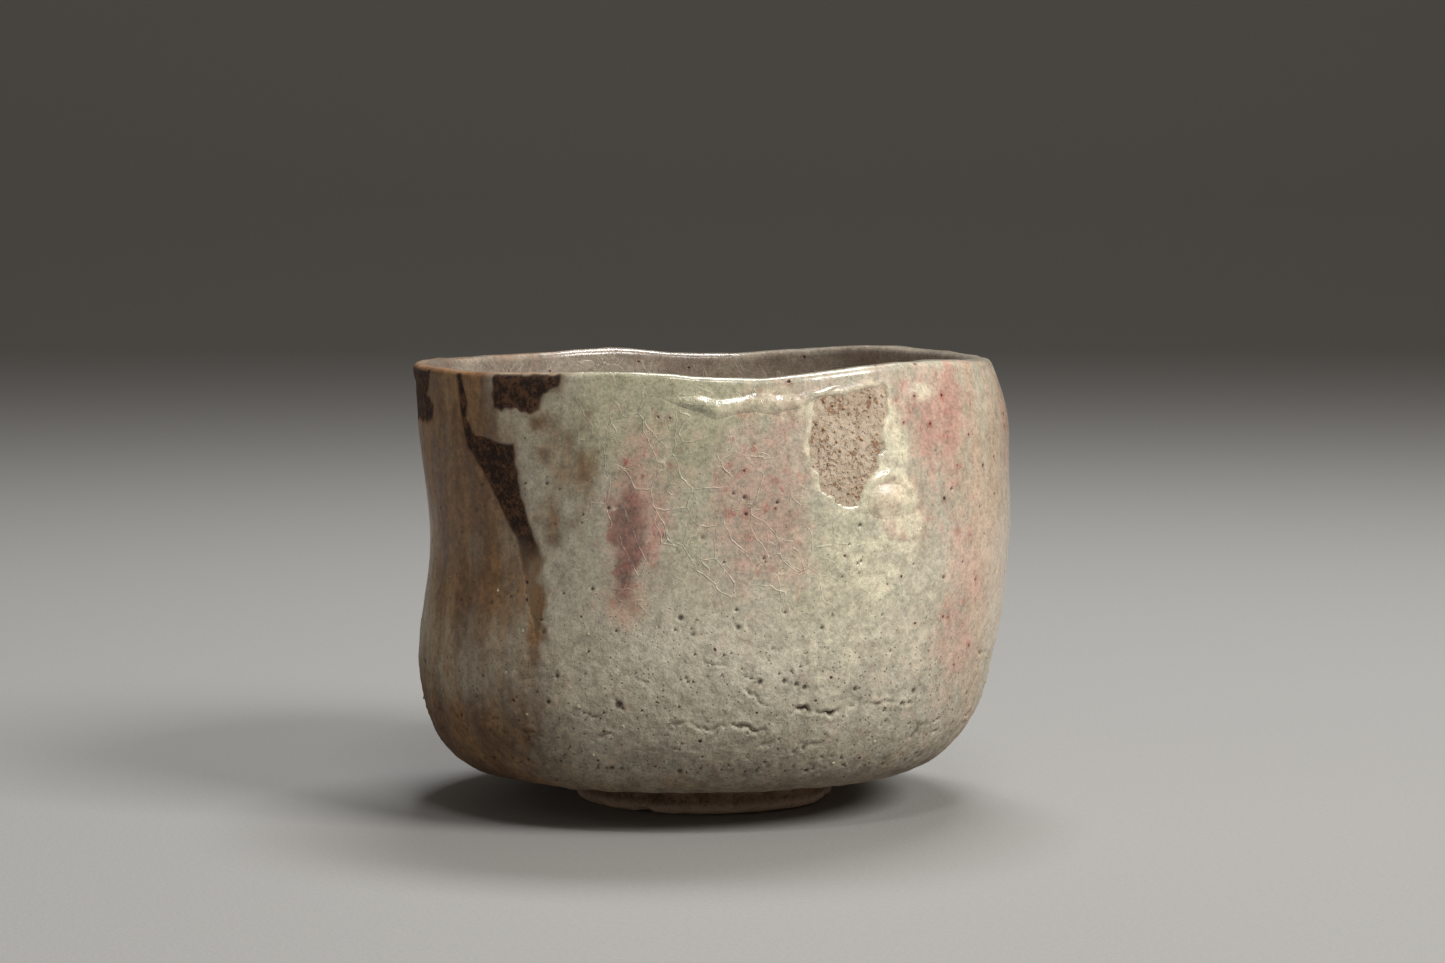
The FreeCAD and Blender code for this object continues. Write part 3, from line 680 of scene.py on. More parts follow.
def finer(field, rows, columns, times):
    """Part of a field of the skin, with times as many points each way."""
    block = np.asarray(field)[rows][:, columns]
    for axis in (0, 1):
        block = np.moveaxis(block, axis, 0)
        places = np.linspace(0, len(block) - 1, (len(block) - 1) * times + 1)
        whole = np.minimum(places.astype(int), len(block) - 2)
        share = (places - whole).reshape((-1,) + (1,) * (block.ndim - 1))
        block = np.moveaxis(block[whole] * (1 - share) + block[whole + 1] * share, 0, axis)
    return block


def inlay(name, keep, height, thick_and_lit, times, material, extra=()):
    """A closed piece that lies in or on the coat.

    keep is a field that is negative where the piece is. height takes the finer points and keep, and gives how
    far the piece's face stands out from the wall. extra lists more fields, which height gets too.
    """
    inside = np.argwhere((keep < 0) & (row_number <= LIP_END))
    row_low, row_high = inside[:, 0].min() - 1, inside[:, 0].max() + 2
    wrapped = (inside[:, 1] + len(turns) // 2) % len(turns)
    column_low, column_high = wrapped.min() - 1, wrapped.max() + 2
    rows = np.arange(row_low, row_high)
    columns = (np.arange(column_low, column_high) - len(turns) // 2) % len(turns)
    fields = (wall, wall_normal, keep, smooth_lumps)
    base, lean, edge, rest = (finer(field, rows, columns, times) for field in fields)
    extras = [finer(field, rows, columns, times) for field in extra]
    stand = height(base, edge, *extras)
    face_points = base + lean * (rest + stand)[..., None]
    back_points = base + lean * (rest - thick_and_lit)[..., None]
    count = edge.shape
    used = edge < 0
    quads = used[:-1, :-1] & used[:-1, 1:] & used[1:, 1:] & used[1:, :-1]
    number = np.arange(edge.size).reshape(count)
    corners = np.stack([number[:-1, :-1], number[:-1, 1:], number[1:, 1:], number[1:, :-1]], -1)[quads]
    edges = np.concatenate([corners[:, [k, (k + 1) % 4]] for k in range(4)])
    key = np.sort(edges, axis=1)
    _, first, uses = np.unique(key @ [edge.size, 1], return_index=True, return_counts=True)
    rim = edges[first[uses == 1]]
    names = np.unique(corners)
    renumber = np.full(edge.size, -1)
    renumber[names] = np.arange(len(names))
    top, border = renumber[corners], renumber[rim]
    bottom = top[:, ::-1] + len(names)
    sides = np.stack([border[:, 1], border[:, 0], border[:, 0] + len(names), border[:, 1] + len(names)], -1)
    flat_face, flat_back = face_points.reshape(-1, 3)[names], back_points.reshape(-1, 3)[names]
    points = np.concatenate([flat_face, flat_back])
    tilt = np.cross(np.gradient(face_points, axis=1), np.gradient(face_points, axis=0))
    tilt /= np.linalg.norm(tilt, axis=2, keepdims=True)
    normals = np.concatenate([tilt.reshape(-1, 3)[names], -lean.reshape(-1, 3)[names]])
    layers = {}
    for layer, fields in LAYERS.items():
        values = [finer(np.broadcast_to(part, up.shape), rows, columns, times) for part in fields]
        values = np.stack(values, -1).reshape(-1, 4)[names]
        layers[layer] = np.concatenate([values, values])
    faces = top.tolist() + bottom.tolist() + sides.tolist()
    return make_piece(name, points, faces, normals, layers, material)


# ---------------------------------------------------------------------------------------- finishes


class Value:
    """A socket that takes part in arithmetic."""

    def __init__(self, finish, socket):
        self.finish, self.socket = finish, socket

    def work(self, operation, *others):
        node = self.finish.node("Math", {"operation": operation})
        for place, item in enumerate((self, *others)):
            self.finish.feed(node.inputs[place], item)
        return Value(self.finish, node.outputs[0])

    def __add__(self, other):
        return self.work("ADD", other)

    def __sub__(self, other):
        return self.work("SUBTRACT", other)

    def __rsub__(self, other):
        return self.work("MULTIPLY", -1).work("ADD", other)

    def __mul__(self, other):
        return self.work("MULTIPLY", other)

    def __truediv__(self, other):
        return self.work("DIVIDE", other)

    __radd__, __rmul__ = __add__, __mul__


def tint(red, green, blue):
    """A colour given as 0 to 255 on a screen, as linear light."""
    parts = [part / 255 for part in (red, green, blue)]
    return (*(part / 12.92 if part <= 0.04045 else ((part + 0.055) / 1.055) ** 2.4 for part in parts), 1.0)


class Finish:
    """A material and its nodes."""

    def __init__(self, name):
        self.material = bpy.data.materials.new(name)
        self.material.use_nodes = True
        self.tree = self.material.node_tree
        self.tree.nodes.clear()
        place = self.node("TexCoord")
        self.place = self.vector("SCALE", Value(self, place.outputs["Object"]), Scale=1 / MM)

    def node(self, kind, settings=None, **inputs):
        node = self.tree.nodes.new("ShaderNode" + kind)
        for setting, value in (settings or {}).items():
            setattr(node, setting, value)
        for name, value in inputs.items():
            self.feed(node.inputs[name.replace("_", " ")], value)
        return node

    def feed(self, socket, item):
        if isinstance(item, Value):
            self.tree.links.new(item.socket, socket)
        else:
            socket.default_value = item

    def vector(self, operation, first, second=None, **inputs):
        node = self.node("VectorMath", {"operation": operation}, **inputs)
        self.feed(node.inputs[0], first)
        if second is not None:
            self.feed(node.inputs[1], second)
        return Value(self, node.outputs[0])

    def noise(self, size, detail=3.0, sharp=0.55, at=None):
        node = self.node("TexNoise", Vector=at or self.place, Scale=1 / size, Detail=detail, Roughness=sharp)
        return Value(self, node.outputs["Fac"])

    def cells(self, size, feature="F1", at=None, scatter=1.0):
        node = self.node(
            "TexVoronoi", {"feature": feature}, Vector=at or self.place, Scale=1 / size, Randomness=scatter
        )
        return node

    def step(self, value, low, high):
        """0 where value is below low, 1 above high and smooth between them."""
        smooth = {"interpolation_type": "SMOOTHSTEP"}
        node = self.node("MapRange", smooth, Value=value, From_Min=low, From_Max=high)
        return Value(self, node.outputs["Result"])

    def mix(self, share, first, second):
        node = self.node("Mix", {"data_type": "RGBA"})
        self.feed(node.inputs[0], share)
        self.feed(node.inputs[6], first)
        self.feed(node.inputs[7], second)
        return Value(self, node.outputs[2])

    def layer(self, name):
        """The four numbers of one of the piece's layers."""
        read = self.node("Attribute", {"attribute_name": name})
        parts = self.node("SeparateColor", Color=Value(self, read.outputs["Color"]))
        return [Value(self, out) for out in parts.outputs[:3]] + [Value(self, read.outputs["Alpha"])]

    def push(self, size, detail=2.0):
        """A small shove that turns and swells as noise does."""
        noise = self.node("TexNoise", Vector=self.place, Scale=1 / size, Detail=detail)
        return self.vector("SUBTRACT", Value(self, noise.outputs["Color"]), (0.5, 0.5, 0.5))

    def wobbled(self, size, amount, detail=2.0):
        """The place, pushed about by noise."""
        return self.vector("ADD", self.place, self.vector("SCALE", self.push(size, detail), Scale=amount))

    def finish(self, colour, roughness, height, coat=0.0, coat_roughness=0.1, strength=1.0, specular=0.5):
        bump = self.node("Bump", Height=height, Strength=strength, Distance=MM)
        shader = self.node(
            "BsdfPrincipled",
            Base_Color=colour,
            Roughness=roughness,
            Coat_Weight=coat,
            Coat_Roughness=coat_roughness,
            Specular_IOR_Level=specular,
            Normal=Value(self, bump.outputs[0]),
        )
        output = self.node("OutputMaterial")
        self.tree.links.new(shader.outputs[0], output.inputs["Surface"])
        return self.material


def glaze(name, gloss=0.26, wet=0.5, open_pores=1.0):
    """The feldspar glaze. Its layers say where it blushed, browned, ran thick or stayed dry, and where shade
    and highlights are painted.
    """
    own = Finish(name)
    blush_at, core_at, green_at, brown_and_shade_at = own.layer("tone")
    peach_at, cream_and_highlight_at, crackle_at, dry_at = own.layer("wear_and_highlight")
    dirt_at, iron_at, orange_at, inside_at = own.layer("mark")
    broad = own.noise(13, 2)
    cloud = own.noise(4.2, 4, 0.6)
    mottle = own.noise(1.7, 4, 0.6)
    grain = own.noise(0.62, 3, 0.65)
    fine = own.noise(0.26, 2, 0.6)
    streaked = own.vector("MULTIPLY", own.place, (1.0, 1.0, 0.22))
    run = own.noise(2.6, 4, 0.6, streaked)
    drift = own.noise(5.5, 2, 0.5, streaked)

    # From the bare glaze through dry, inner and browned places to the blush and the thick cream. The brown
    # layer also carries painted shade low down, and the cream layer carries painted highlights.
    uneven = own.step(broad + (cloud - 0.5) * 0.7, 0.35, 0.68)
    colour = own.mix(uneven, tint(198, 190, 168), tint(180, 170, 148))
    colour = own.mix(own.step(cloud, 0.45, 0.72) * 0.35, colour, tint(208, 203, 184))
    colour = own.mix(own.step(run, 0.52, 0.74) * 0.25, colour, tint(164, 148, 122))
    colour = own.mix(green_at * 0.55, colour, tint(178, 176, 142))
    crust = own.mix(own.step(mottle, 0.3, 0.7), tint(178, 169, 148), tint(198, 191, 171))
    colour = own.mix(dry_at * 0.55, colour, crust)
    uneven = own.step(broad + (cloud - 0.5) * 0.5, 0.35, 0.65)
    inner = own.mix(uneven, tint(156, 143, 127), tint(128, 111, 99))
    colour = own.mix(inside_at * 0.9, colour, inner)
    stain_and_shade = own.step(brown_and_shade_at + (cloud - 0.5) * 0.5 + (run - 0.5) * 0.5, 0.02, 0.95)
    amber = own.step(drift + (mottle - 0.5) * 0.35, 0.34, 0.68)
    colour = own.mix(stain_and_shade * 0.92, colour, own.mix(amber, tint(96, 59, 20), tint(138, 98, 50)))
    colour = own.mix(peach_at * 0.6, colour, tint(206, 172, 145))
    flush = own.step(blush_at + (cloud - 0.5) * 0.9 + (mottle - 0.5) * 0.7, 0.05, 1.15)
    colour = own.mix(flush * 0.66, colour, tint(200, 144, 130))
    freckle = own.noise(1.5, 4, 0.68, own.vector("MULTIPLY", own.place, (1.0, 1.0, 0.6)))
    freckled = own.step(freckle, 0.57, 0.67) * (0.62 * blush_at + 0.10 * (1 - inside_at))
    colour = own.mix(freckled, colour, tint(176, 90, 78))
    heart = own.step(core_at + (cloud - 0.5) * 0.7 + (mottle - 0.5) * 0.5, 0.05, 1.05)
    plum = own.mix(own.step(mottle, 0.35, 0.65), tint(108, 66, 58), tint(142, 96, 84))
    colour = own.mix(heart * 0.80, colour, plum)
    thick_and_lit = own.step(cream_and_highlight_at + (cloud - 0.5) * 0.5 + (mottle - 0.5) * 0.4, 0.15, 0.95)
    colour = own.mix(thick_and_lit * 0.8, colour, tint(232, 223, 192))

    # Crackle: two nets of pale threads.
    swirl = own.wobbled(9.0, 6.0, 0.0)
    swirl = own.vector("ADD", swirl, own.vector("SCALE", own.push(2.6, 1.0), Scale=1.3))
    swirl = own.vector("MULTIPLY", swirl, (1.0, 1.0, 0.72))
    wide = Value(own, own.cells(6.4, "DISTANCE_TO_EDGE", swirl).outputs["Distance"])
    narrow = Value(own, own.cells(3.0, "DISTANCE_TO_EDGE", swirl).outputs["Distance"])
    shown = own.step(own.noise(8.0, 1), 0.36, 0.52)
    broken = own.step(own.noise(6.0, 1), 0.48, 0.60)
    faded = own.step(own.noise(2.4, 1), 0.36, 0.60)
    threads = (1 - own.step(wide, 0.003, 0.021)) * shown
    threads = threads + (1 - own.step(narrow, 0.006, 0.040)) * broken * 0.8
    threads = threads * crackle_at * (0.35 + 0.65 * faded)
    colour = own.mix(threads * 0.44, colour, tint(226, 216, 190))

    # Lighter and darker grains, and painted shade that darkens the foot of the wall.
    apart = own.node("SeparateXYZ", Vector=own.place)
    painted_low_shade = 1 - own.step(Value(own, apart.outputs[2]) + (cloud - 0.5) * 8, 8, 38)
    shade = 1 - painted_low_shade * 0.30 + (grain - 0.5) * (1.15 - 0.35 * dry_at) + (fine - 0.5) * 0.60
    shade = shade + (mottle - 0.5) * (1.05 - 0.30 * dry_at) + (cloud - 0.5) * 0.60
    colour = own.vector("SCALE", colour, Scale=shade)

    # Pinholes with red halos, and small brown specks.
    dots = own.cells(2.6, "F1", own.wobbled(1.5, 0.6))
    chance = own.node("SeparateColor", Color=Value(own, dots.outputs["Color"]))
    chosen = own.step(Value(own, chance.outputs[0]), 0.66, 0.68) * open_pores
    reach = Value(own, dots.outputs["Distance"]) / (Value(own, chance.outputs[1]) * 0.085 + 0.038)
    halo = (1 - own.step(reach, 1.0, 5.0)) * chosen
    colour = own.mix(halo * (0.12 + 0.5 * blush_at), colour, tint(160, 72, 60))
    holes = (1 - own.step(reach, 0.7, 1.5)) * chosen
    colour = own.mix(holes * 0.95, colour, tint(52, 36, 28))
    small = own.cells(0.95, "F1")
    chance = own.node("SeparateColor", Color=Value(own, small.outputs["Color"]))
    chosen = own.step(Value(own, chance.outputs[0]), 0.53, 0.55)
    specks = (1 - own.step(Value(own, small.outputs["Distance"]) - dry_at * 0.07, 0.05, 0.19)) * chosen
    colour = own.mix(specks * (0.55 + 0.25 * dry_at), colour, tint(84, 66, 52))

    # Dirt in the cracks, the orange edge and the iron.
    colour = own.mix(own.step(dirt_at + (grain - 0.5) * 0.5, 0.15, 0.70) * 0.85, colour, tint(62, 48, 37))
    colour = own.mix(orange_at * 0.5, colour, tint(168, 112, 74))
    dark = own.mix(own.step(mottle + (grain - 0.5) * 0.8, 0.38, 0.72), tint(38, 20, 9), tint(98, 66, 42))
    rusted = own.step(iron_at + (mottle - 0.5) * 0.7 + (grain - 0.5) * 0.5, 0.10, 0.80)
    colour = own.mix(rusted, colour, dark)

    roughness = gloss + 0.30 * dry_at + 0.14 * (cloud - 0.3) + 0.2 * dirt_at
    roughness = roughness + 0.45 * iron_at + 0.26 * brown_and_shade_at
    height = (
        grain * (0.07 + 0.12 * dry_at)
        + fine * 0.02
        + mottle * (0.06 + 0.14 * dry_at)
        - holes * 0.20
        - specks * 0.05
        + threads * 0.10
    )
    coat = wet - 0.42 * dry_at - 0.3 * dirt_at - 0.45 * brown_and_shade_at - 0.5 * iron_at
    return own.finish(colour, roughness, height, coat, 0.10)


def bare_clay(name, dark, light, grain_tint, rough_amount=1.0, worn_and_lit=0.0):
    """Unglazed sandy clay, whose lowest band may be painted paler: worn where it stands on the table, and a
    painted highlight where its lower edge catches the light.
    """
    own = Finish(name)
    broad = own.noise(6, 3)
    mottle = own.noise(1.1, 4, 0.65)
    grain = own.noise(0.35, 3, 0.65)
    colour = own.mix(own.step(broad + (mottle - 0.5) * 0.8, 0.3, 0.7), dark, light)
    sand = own.noise(0.9, 4, 0.78, own.wobbled(0.8, 1.0))
    gathered = own.noise(4.0, 2)
    grains = own.step(sand + (gathered - 0.5) * 0.4, 0.555, 0.63)
    colour = own.mix(grains * 0.7, colour, grain_tint)
    dots = own.cells(1.3, "F1")
    chance = own.node("SeparateColor", Color=Value(own, dots.outputs["Color"]))
    chosen = own.step(Value(own, chance.outputs[0]), 0.80, 0.82)
    black = (1 - own.step(Value(own, dots.outputs["Distance"]), 0.10, 0.20)) * chosen
    colour = own.mix(black * 0.7, colour, tint(74, 52, 38))
    # Painted highlight: the lowest band is painted paler, for wear and for the light caught by the lower edge.
    if worn_and_lit:
        apart = own.node("SeparateXYZ", Vector=own.place)
        low = 1 - own.step(Value(own, apart.outputs[2]) + (mottle - 0.5) * 2.0, 1.0, 3.0)
        colour = own.mix(low * worn_and_lit, colour, tint(236, 206, 178))
    colour = own.vector("SCALE", colour, Scale=1 + (grain - 0.5) * 0.4)
    height = (grain * 0.20 + mottle * 0.30 - grains * 0.12 - black * 0.1) * rough_amount
    return own.finish(colour, 0.74 + 0.2 * grain, height, 0.0, 0.1, 1.0, 0.3)


def pooled_glass(name, low, high, gloss):
    """Thick glassy glaze that has run together."""
    own = Finish(name)
    cloud = own.noise(2.2, 3)
    fine = own.noise(0.6, 3)
    colour = own.mix(own.step(cloud + (fine - 0.5) * 0.3, 0.35, 0.68), low, high)
    specks = own.cells(1.3, "F1")
    holes = 1 - own.step(Value(own, specks.outputs["Distance"]), 0.05, 0.13)
    colour = own.mix(holes * 0.3, colour, tint(120, 90, 70))
    return own.finish(colour, gloss + 0.12 * cloud, cloud * 0.05 + fine * 0.01 - holes * 0.05, 0.7, 0.06)


coat_finish = glaze("feldspar_coat")
inner_finish = glaze("inner_coat", 0.24)
lip_finish = glaze("lip_coat", 0.18)
iron_finish = glaze("iron_wash", 0.34, 0.3)
window_finish = bare_clay("window_clay", tint(186, 165, 142), tint(208, 190, 168), tint(152, 96, 46))
# The foot's tints are darkened as painted shade under the bowl, and its lowest band is painted paler.
foot_finish = bare_clay("foot_clay", tint(128, 98, 78), tint(166, 136, 112), tint(104, 76, 56), 1.2, 0.85)
core_finish = bare_clay("body_clay", tint(132, 104, 84), tint(168, 140, 116), tint(110, 84, 64))
run_finish = glaze("cream_run", 0.14, 0.8, 0.0)
blister_finish = glaze("blush_bead", 0.40, 0.18, 0.0)
pool_finish = pooled_glass("pool_glass", tint(126, 124, 102), tint(142, 136, 118), 0.14)
stone_finish = bare_clay("feldspar_stone", tint(172, 162, 138), tint(194, 186, 162), tint(160, 144, 116), 0.6)
grain_finish = bare_clay("brown_grain", tint(196, 160, 122), tint(222, 196, 164), tint(150, 100, 60), 0.6)

# ------------------------------------------------------------------------------- the skin's pieces


def stands_for(piece, node):
    """Hides a node of the model, and hangs the piece that stands for it on the root body."""
    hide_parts(node)
    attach(piece, "root")


def goes_with(piece):
    """Hangs a piece with no node of its own on the root body."""
    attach(piece, "root")


first_column = 0
for pour, (_, _, count) in POURS.items():
    columns = np.arange(first_column, first_column + count + 1) % len(turns)
    piece = shell(f"coat_{pour}", np.arange(0, LIP_START + 1), columns, coat_finish)
    stands_for(piece, f"outer_glaze_{pour}")
    first_column += count
every_column = np.arange(len(turns))
lip = shell("lip_bead", np.arange(LIP_START, LIP_END + 1), every_column, lip_finish, closed=True)
stands_for(lip, "rim_glaze")
inner = shell("inner_coat", np.arange(LIP_END, FLOOR_END - 1), every_column[::2], inner_finish, True, True)
stands_for(inner, "inner_glaze")

# ------------------------------------------------------------------------------- patches and beads


def window_height(base, edge):
    """Gritty clay, sunk a little below the coat round it."""
    grit = 0.16 * noise(base, 1.25, 81) + 0.11 * noise(base, 0.62, 82) + 0.10 * noise(base, 3.3, 83)
    return -WINDOW_SUNK + grit * ease(1.0, -0.6, edge)


def iron_height(base, edge, room):
    """A thin skin of iron. It dips under the coat where there is no room below the lip."""
    grit = (0.05 * noise(base, 1.4, 84) + 0.03 * noise(base, 0.7, 85)) * ease(0.6, -0.5, edge)
    return (grit - IRON_SUNK) * room - 0.35 * (1 - room)


window_piece = inlay("window_clay", window_edge - 0.9, window_height, 1.2, 2, window_finish)
stands_for(window_piece, "bare_clay_window")
IRON_PIECES = {
    "iron_streak": ("streak_iron", streak_edge),
    "iron_lip_patch": ("lip_iron", lip_patch_edge),
    "iron_side_patch": ("side_iron", side_patch_edge),
}
below_the_lip = np.where(row_number >= LIP_START - 2, 5.0, -5.0)
for node, (name, edge) in IRON_PIECES.items():
    keep = np.maximum(edge - 0.7, below_the_lip)
    stands_for(inlay(name, keep, iron_height, 0.9, 2, iron_finish, [near_rim + 0 * up]), node)

# The cream run under the lip: its middle line, and its half width along it.
RUN_MIDDLE = [
    (-7.0, 79.6), (-3.5, 79.2), (-0.5, 78.9), (2.5, 77.9), (6.0, 78.7), (9.5, 79.2), (13.0, 78.6),
    (17.0, 79.3), (20.0, 80.6), (24.0, 81.6),
]
RUN_HALF = [
    (-7.0, 0.1), (-3.0, 1.0), (2.0, 1.7), (7.0, 1.3), (12.0, 1.6), (17.0, 1.2), (21.0, 0.8), (25.0, 0.1)
]
run_middle = np.interp(across, *zip(*RUN_MIDDLE))
run_half = np.interp(across, *zip(*RUN_HALF))
run_edge = np.abs(up - run_middle + 0.25 * noise(wall, 3, 87)) / np.maximum(run_half, 0.1)
run_edge = np.where(in_front & is_outer & (across > -7) & (across < 26), run_edge, 9.0)
surface_detail = relief - smooth_lumps


def run_height(base, edge, place, detail, half):
    """A round crown on the coat's own detail, with its edge tucked in. place is 1 at the run's half width."""
    crown = np.clip(1 - (place / 1.25) ** 2, 0, 1) ** 1.7 * 0.64 * ease(0.1, 1.6, half)
    return detail + crown - 0.22 * ease(1.05, 1.4, place)


run_fields = [run_edge, surface_detail, run_half]
run_piece = inlay("cream_run", run_edge - 1.45, run_height, 0.6, 2, run_finish, run_fields)
stands_for(run_piece, "glaze_roll")

BLISTER_RADIUS = 3.8
blister_shape = np.where(blister_distance < 8, blister_distance + 0.35 * noise(wall, 2.6, 88), 9.0)


def blister_height(base, edge, detail):
    """A dome on the coat's own detail, with its edge tucked in."""
    distance = edge + BLISTER_RADIUS
    crown = np.clip(1 - (distance / 3.4) ** 2, 0, 1) ** 1.5 * 0.85
    return detail + crown - 0.25 * ease(3.0, 3.7, distance)


blister_edge = blister_shape - BLISTER_RADIUS
blister_piece = inlay(
    "blister_bead", blister_edge, blister_height, 0.6, 3, blister_finish, [surface_detail]
)
stands_for(blister_piece, "glaze_blister")

# ----------------------------------------------------------------------------------- foot and clay


def ring_piece(name, profile, count, material, stand):
    """A ring turned from a closed profile about the bowl's axis, given relief by stand(points)."""
    profile = np.array(profile, float)
    turn = np.linspace(0, 2 * math.pi, count, endpoint=False)
    points = stand(round_points(profile[:, :1], profile[:, 1:], turn))
    grid = np.arange(len(profile) * count).reshape(len(profile), count)
    faces = grid_faces(np.concatenate([grid, grid[:1]]), closed=True)
    return make_piece(name, points.reshape(-1, 3), faces, material=material)


def along(corners, spacing):
    """Points along a path of straight runs, about spacing apart."""
    points = []
    for (ax, ay), (bx, by) in zip(corners, corners[1:]):
        count = max(1, round(math.hypot(bx - ax, by - ay) / spacing))
        points += [(ax + (bx - ax) * k / count, ay + (by - ay) * k / count) for k in range(count)]
    return points + [corners[-1]]


# The foot's profile, from its inner side down over the standing face and up its outer side.
foot_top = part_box("foot_ring")[1][2] / MM
FOOT_PATH = [
    (17.0, foot_top - 0.4), (17.3, 4.0), (18.0, 1.0), (18.5, 0.35), (19.2, 0.1), (21.5, 0.05),
    (23.6, 0.08), (24.4, 0.35), (24.8, 1.0), (25.2, 3.5), (25.8, foot_top - 0.3),
]


def foot_relief(points):
    """The foot's knife marks, chips and worn standing face, which never goes below the floor."""
    radius = np.hypot(points[..., 0], points[..., 1])
    outward = points * [1, 1, 0] / radius[..., None]
    side = np.where(radius > 21.5, 1.0, -1.0)
    height = points[..., 2]
    chips = ease(0.15, 0.75, noise(points * [1, 1, 0.4], 3.4, 91)) * ease(3.2, 0.3, height)
    swing = 0.45 * noise(points * [1, 1, 0.3], 9, 92)
    swing += 0.22 * noise(points, 2.6, 93) + 0.12 * noise(points, 1.1, 94)
    amount = swing * ease(-0.5, 1.5, height) - 0.75 * chips - 0.15
    moved = points + outward * (side * amount)[..., None]
    lift = 0.10 + 0.25 * chips + 0.10 * noise(points, 1.6, 95)
    moved[..., 2] += lift * ease(2.0, 0.2, height)
    moved[..., 2] = np.maximum(moved[..., 2], 0.0)
    return moved


foot_piece = ring_piece("foot", along(FOOT_PATH, 0.42), 420, foot_finish, foot_relief)
stands_for(foot_piece, "foot_ring")


def clay_core():
    """The clay inside the coat. Only its carved underside, inside the foot ring, shows."""
    clay_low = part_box("clay_body")[0][2] / MM
    columns = every_column[::6]
    under = [
        (0.0, clay_low + 0.1), (1.2, clay_low + 0.15), (6.0, 4.5), (10.0, 4.75), (16.2, 4.7), (17.2, 5.0)
    ]
    under = np.array(along(under, 0.45))
    sunk = wall - wall_normal * 1.6
    rows = [*range(14, LIP_START, 8), *range(LIP_START, LIP_END, 6), *range(LIP_END, FLOOR_END, 6)]
    turn = np.radians(turns[columns])
    disc = round_points(under[:, :1], under[:, 1:], turn)
    spiral = np.sin(under[:, :1] * 2.4 + turn[None, :]) * 0.13 * ease(1, 4, under[:, :1])
    disc[..., 2] += spiral + 0.12 * noise(disc, 2.4, 96) + 0.07 * noise(disc, 1.0, 97)
    disc[0] = disc[0].mean(axis=0)
    body = sunk[rows][:, columns]
    points = np.concatenate([disc[1:], body]).reshape(-1, 3)
    grid = np.arange(len(points)).reshape(-1, len(columns))
    middle_low, middle_high = len(points), len(points) + 1
    points = np.concatenate([points, disc[0][:1], [[0, 0, sunk[-1, 0, 2]]]])
    faces = grid_faces(grid, closed=True)
    faces += fan(grid[0], middle_low, flipped=True) + fan(grid[-1], middle_high)
    return make_piece("clay", points, faces, material=core_finish)


stands_for(clay_core(), "clay_body")


def pool_piece():
    """The pool of glass in the dished floor, with an uneven shore."""
    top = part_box("tea_pool_glaze")[1][2] / MM
    count = 160
    turn = np.linspace(0, 2 * math.pi, count, endpoint=False)
    shore = 12.6 + 0.9 * np.sin(2 * turn + 0.6) + 0.5 * np.sin(3 * turn + 2) + 0.25 * np.sin(7 * turn)
    shares = [0.04, 0.2, 0.4, 0.55, 0.64, 0.72, 0.80, 0.88, 0.94, 1.0]
    rings = []
    for share in shares:
        radius = shore * share
        height = top - 0.30 * ease(0.55, 1.0, share) + 0.02 * np.sin(5 * turn) * share
        rings.append(round_points(radius, height, turn))
    rings.append(rings[-1] - [0, 0, 0.5])
    rings.append(rings[0] * [1, 1, 0] + [0, 0, top - 0.9])
    points = np.concatenate(rings[::-1])
    grid = np.arange(len(points)).reshape(-1, count)[::-1]
    faces = [face[::-1] for face in grid_faces(grid, closed=True)]
    points = np.concatenate([points, [[0, 0, top], [0, 0, top - 0.9]]])
    faces += fan(grid[0], len(points) - 2) + fan(grid[-1], len(points) - 1, flipped=True)
    return make_piece("pool", points, faces, material=pool_finish)


stands_for(pool_piece(), "tea_pool_glaze")

# -------------------------------------------------------------------------------- scattered stones


class Growth:
    """A Geometry Nodes tree that grows something on a carrier mesh."""

    def __init__(self, name, **inputs):
        self.tree = bpy.data.node_groups.new(name, "GeometryNodeTree")
        self.tree.interface.new_socket("Geometry", in_out="INPUT", socket_type="NodeSocketGeometry")
        self.tree.interface.new_socket("Geometry", in_out="OUTPUT", socket_type="NodeSocketGeometry")
        self.values = inputs
        for label, value in inputs.items():
            kind = "NodeSocketInt" if isinstance(value, int) else "NodeSocketFloat"
            self.tree.interface.new_socket(label, in_out="INPUT", socket_type=kind)
        self.start = self.tree.nodes.new("NodeGroupInput")
        self.end = self.tree.nodes.new("NodeGroupOutput")

    def node(self, kind, settings=None, **inputs):
        node = self.tree.nodes.new(kind)
        for setting, value in (settings or {}).items():
            setattr(node, setting, value)
        for name, value in inputs.items():
            by_number = name[0] == "_" and name[1:].isdigit()
            socket = node.inputs[int(name[1:]) if by_number else name.replace("_", " ")]
            if isinstance(value, bpy.types.NodeSocket):
                self.tree.links.new(value, socket)
            else:
                socket.default_value = value
        return node

    def grow(self, name, carrier):
        """Runs the tree on the carrier and returns the result as a plain piece. The carrier is removed."""
        modifier = carrier.modifiers.new(name, "NODES")
        modifier.node_group = self.tree
        for item in self.tree.interface.items_tree:
            if item.in_out == "INPUT" and item.name in self.values:
                modifier[item.identifier] = self.values[item.name]
        bpy.context.view_layer.update()
        seen = carrier.evaluated_get(bpy.context.evaluated_depsgraph_get())
        mesh = bpy.data.meshes.new_from_object(seen)
        mesh.name = name
        carrier.modifiers.remove(modifier)
        bpy.data.objects.remove(carrier)
        piece = bpy.data.objects.new(name, mesh)
        bpy.context.scene.collection.objects.link(piece)
        return piece


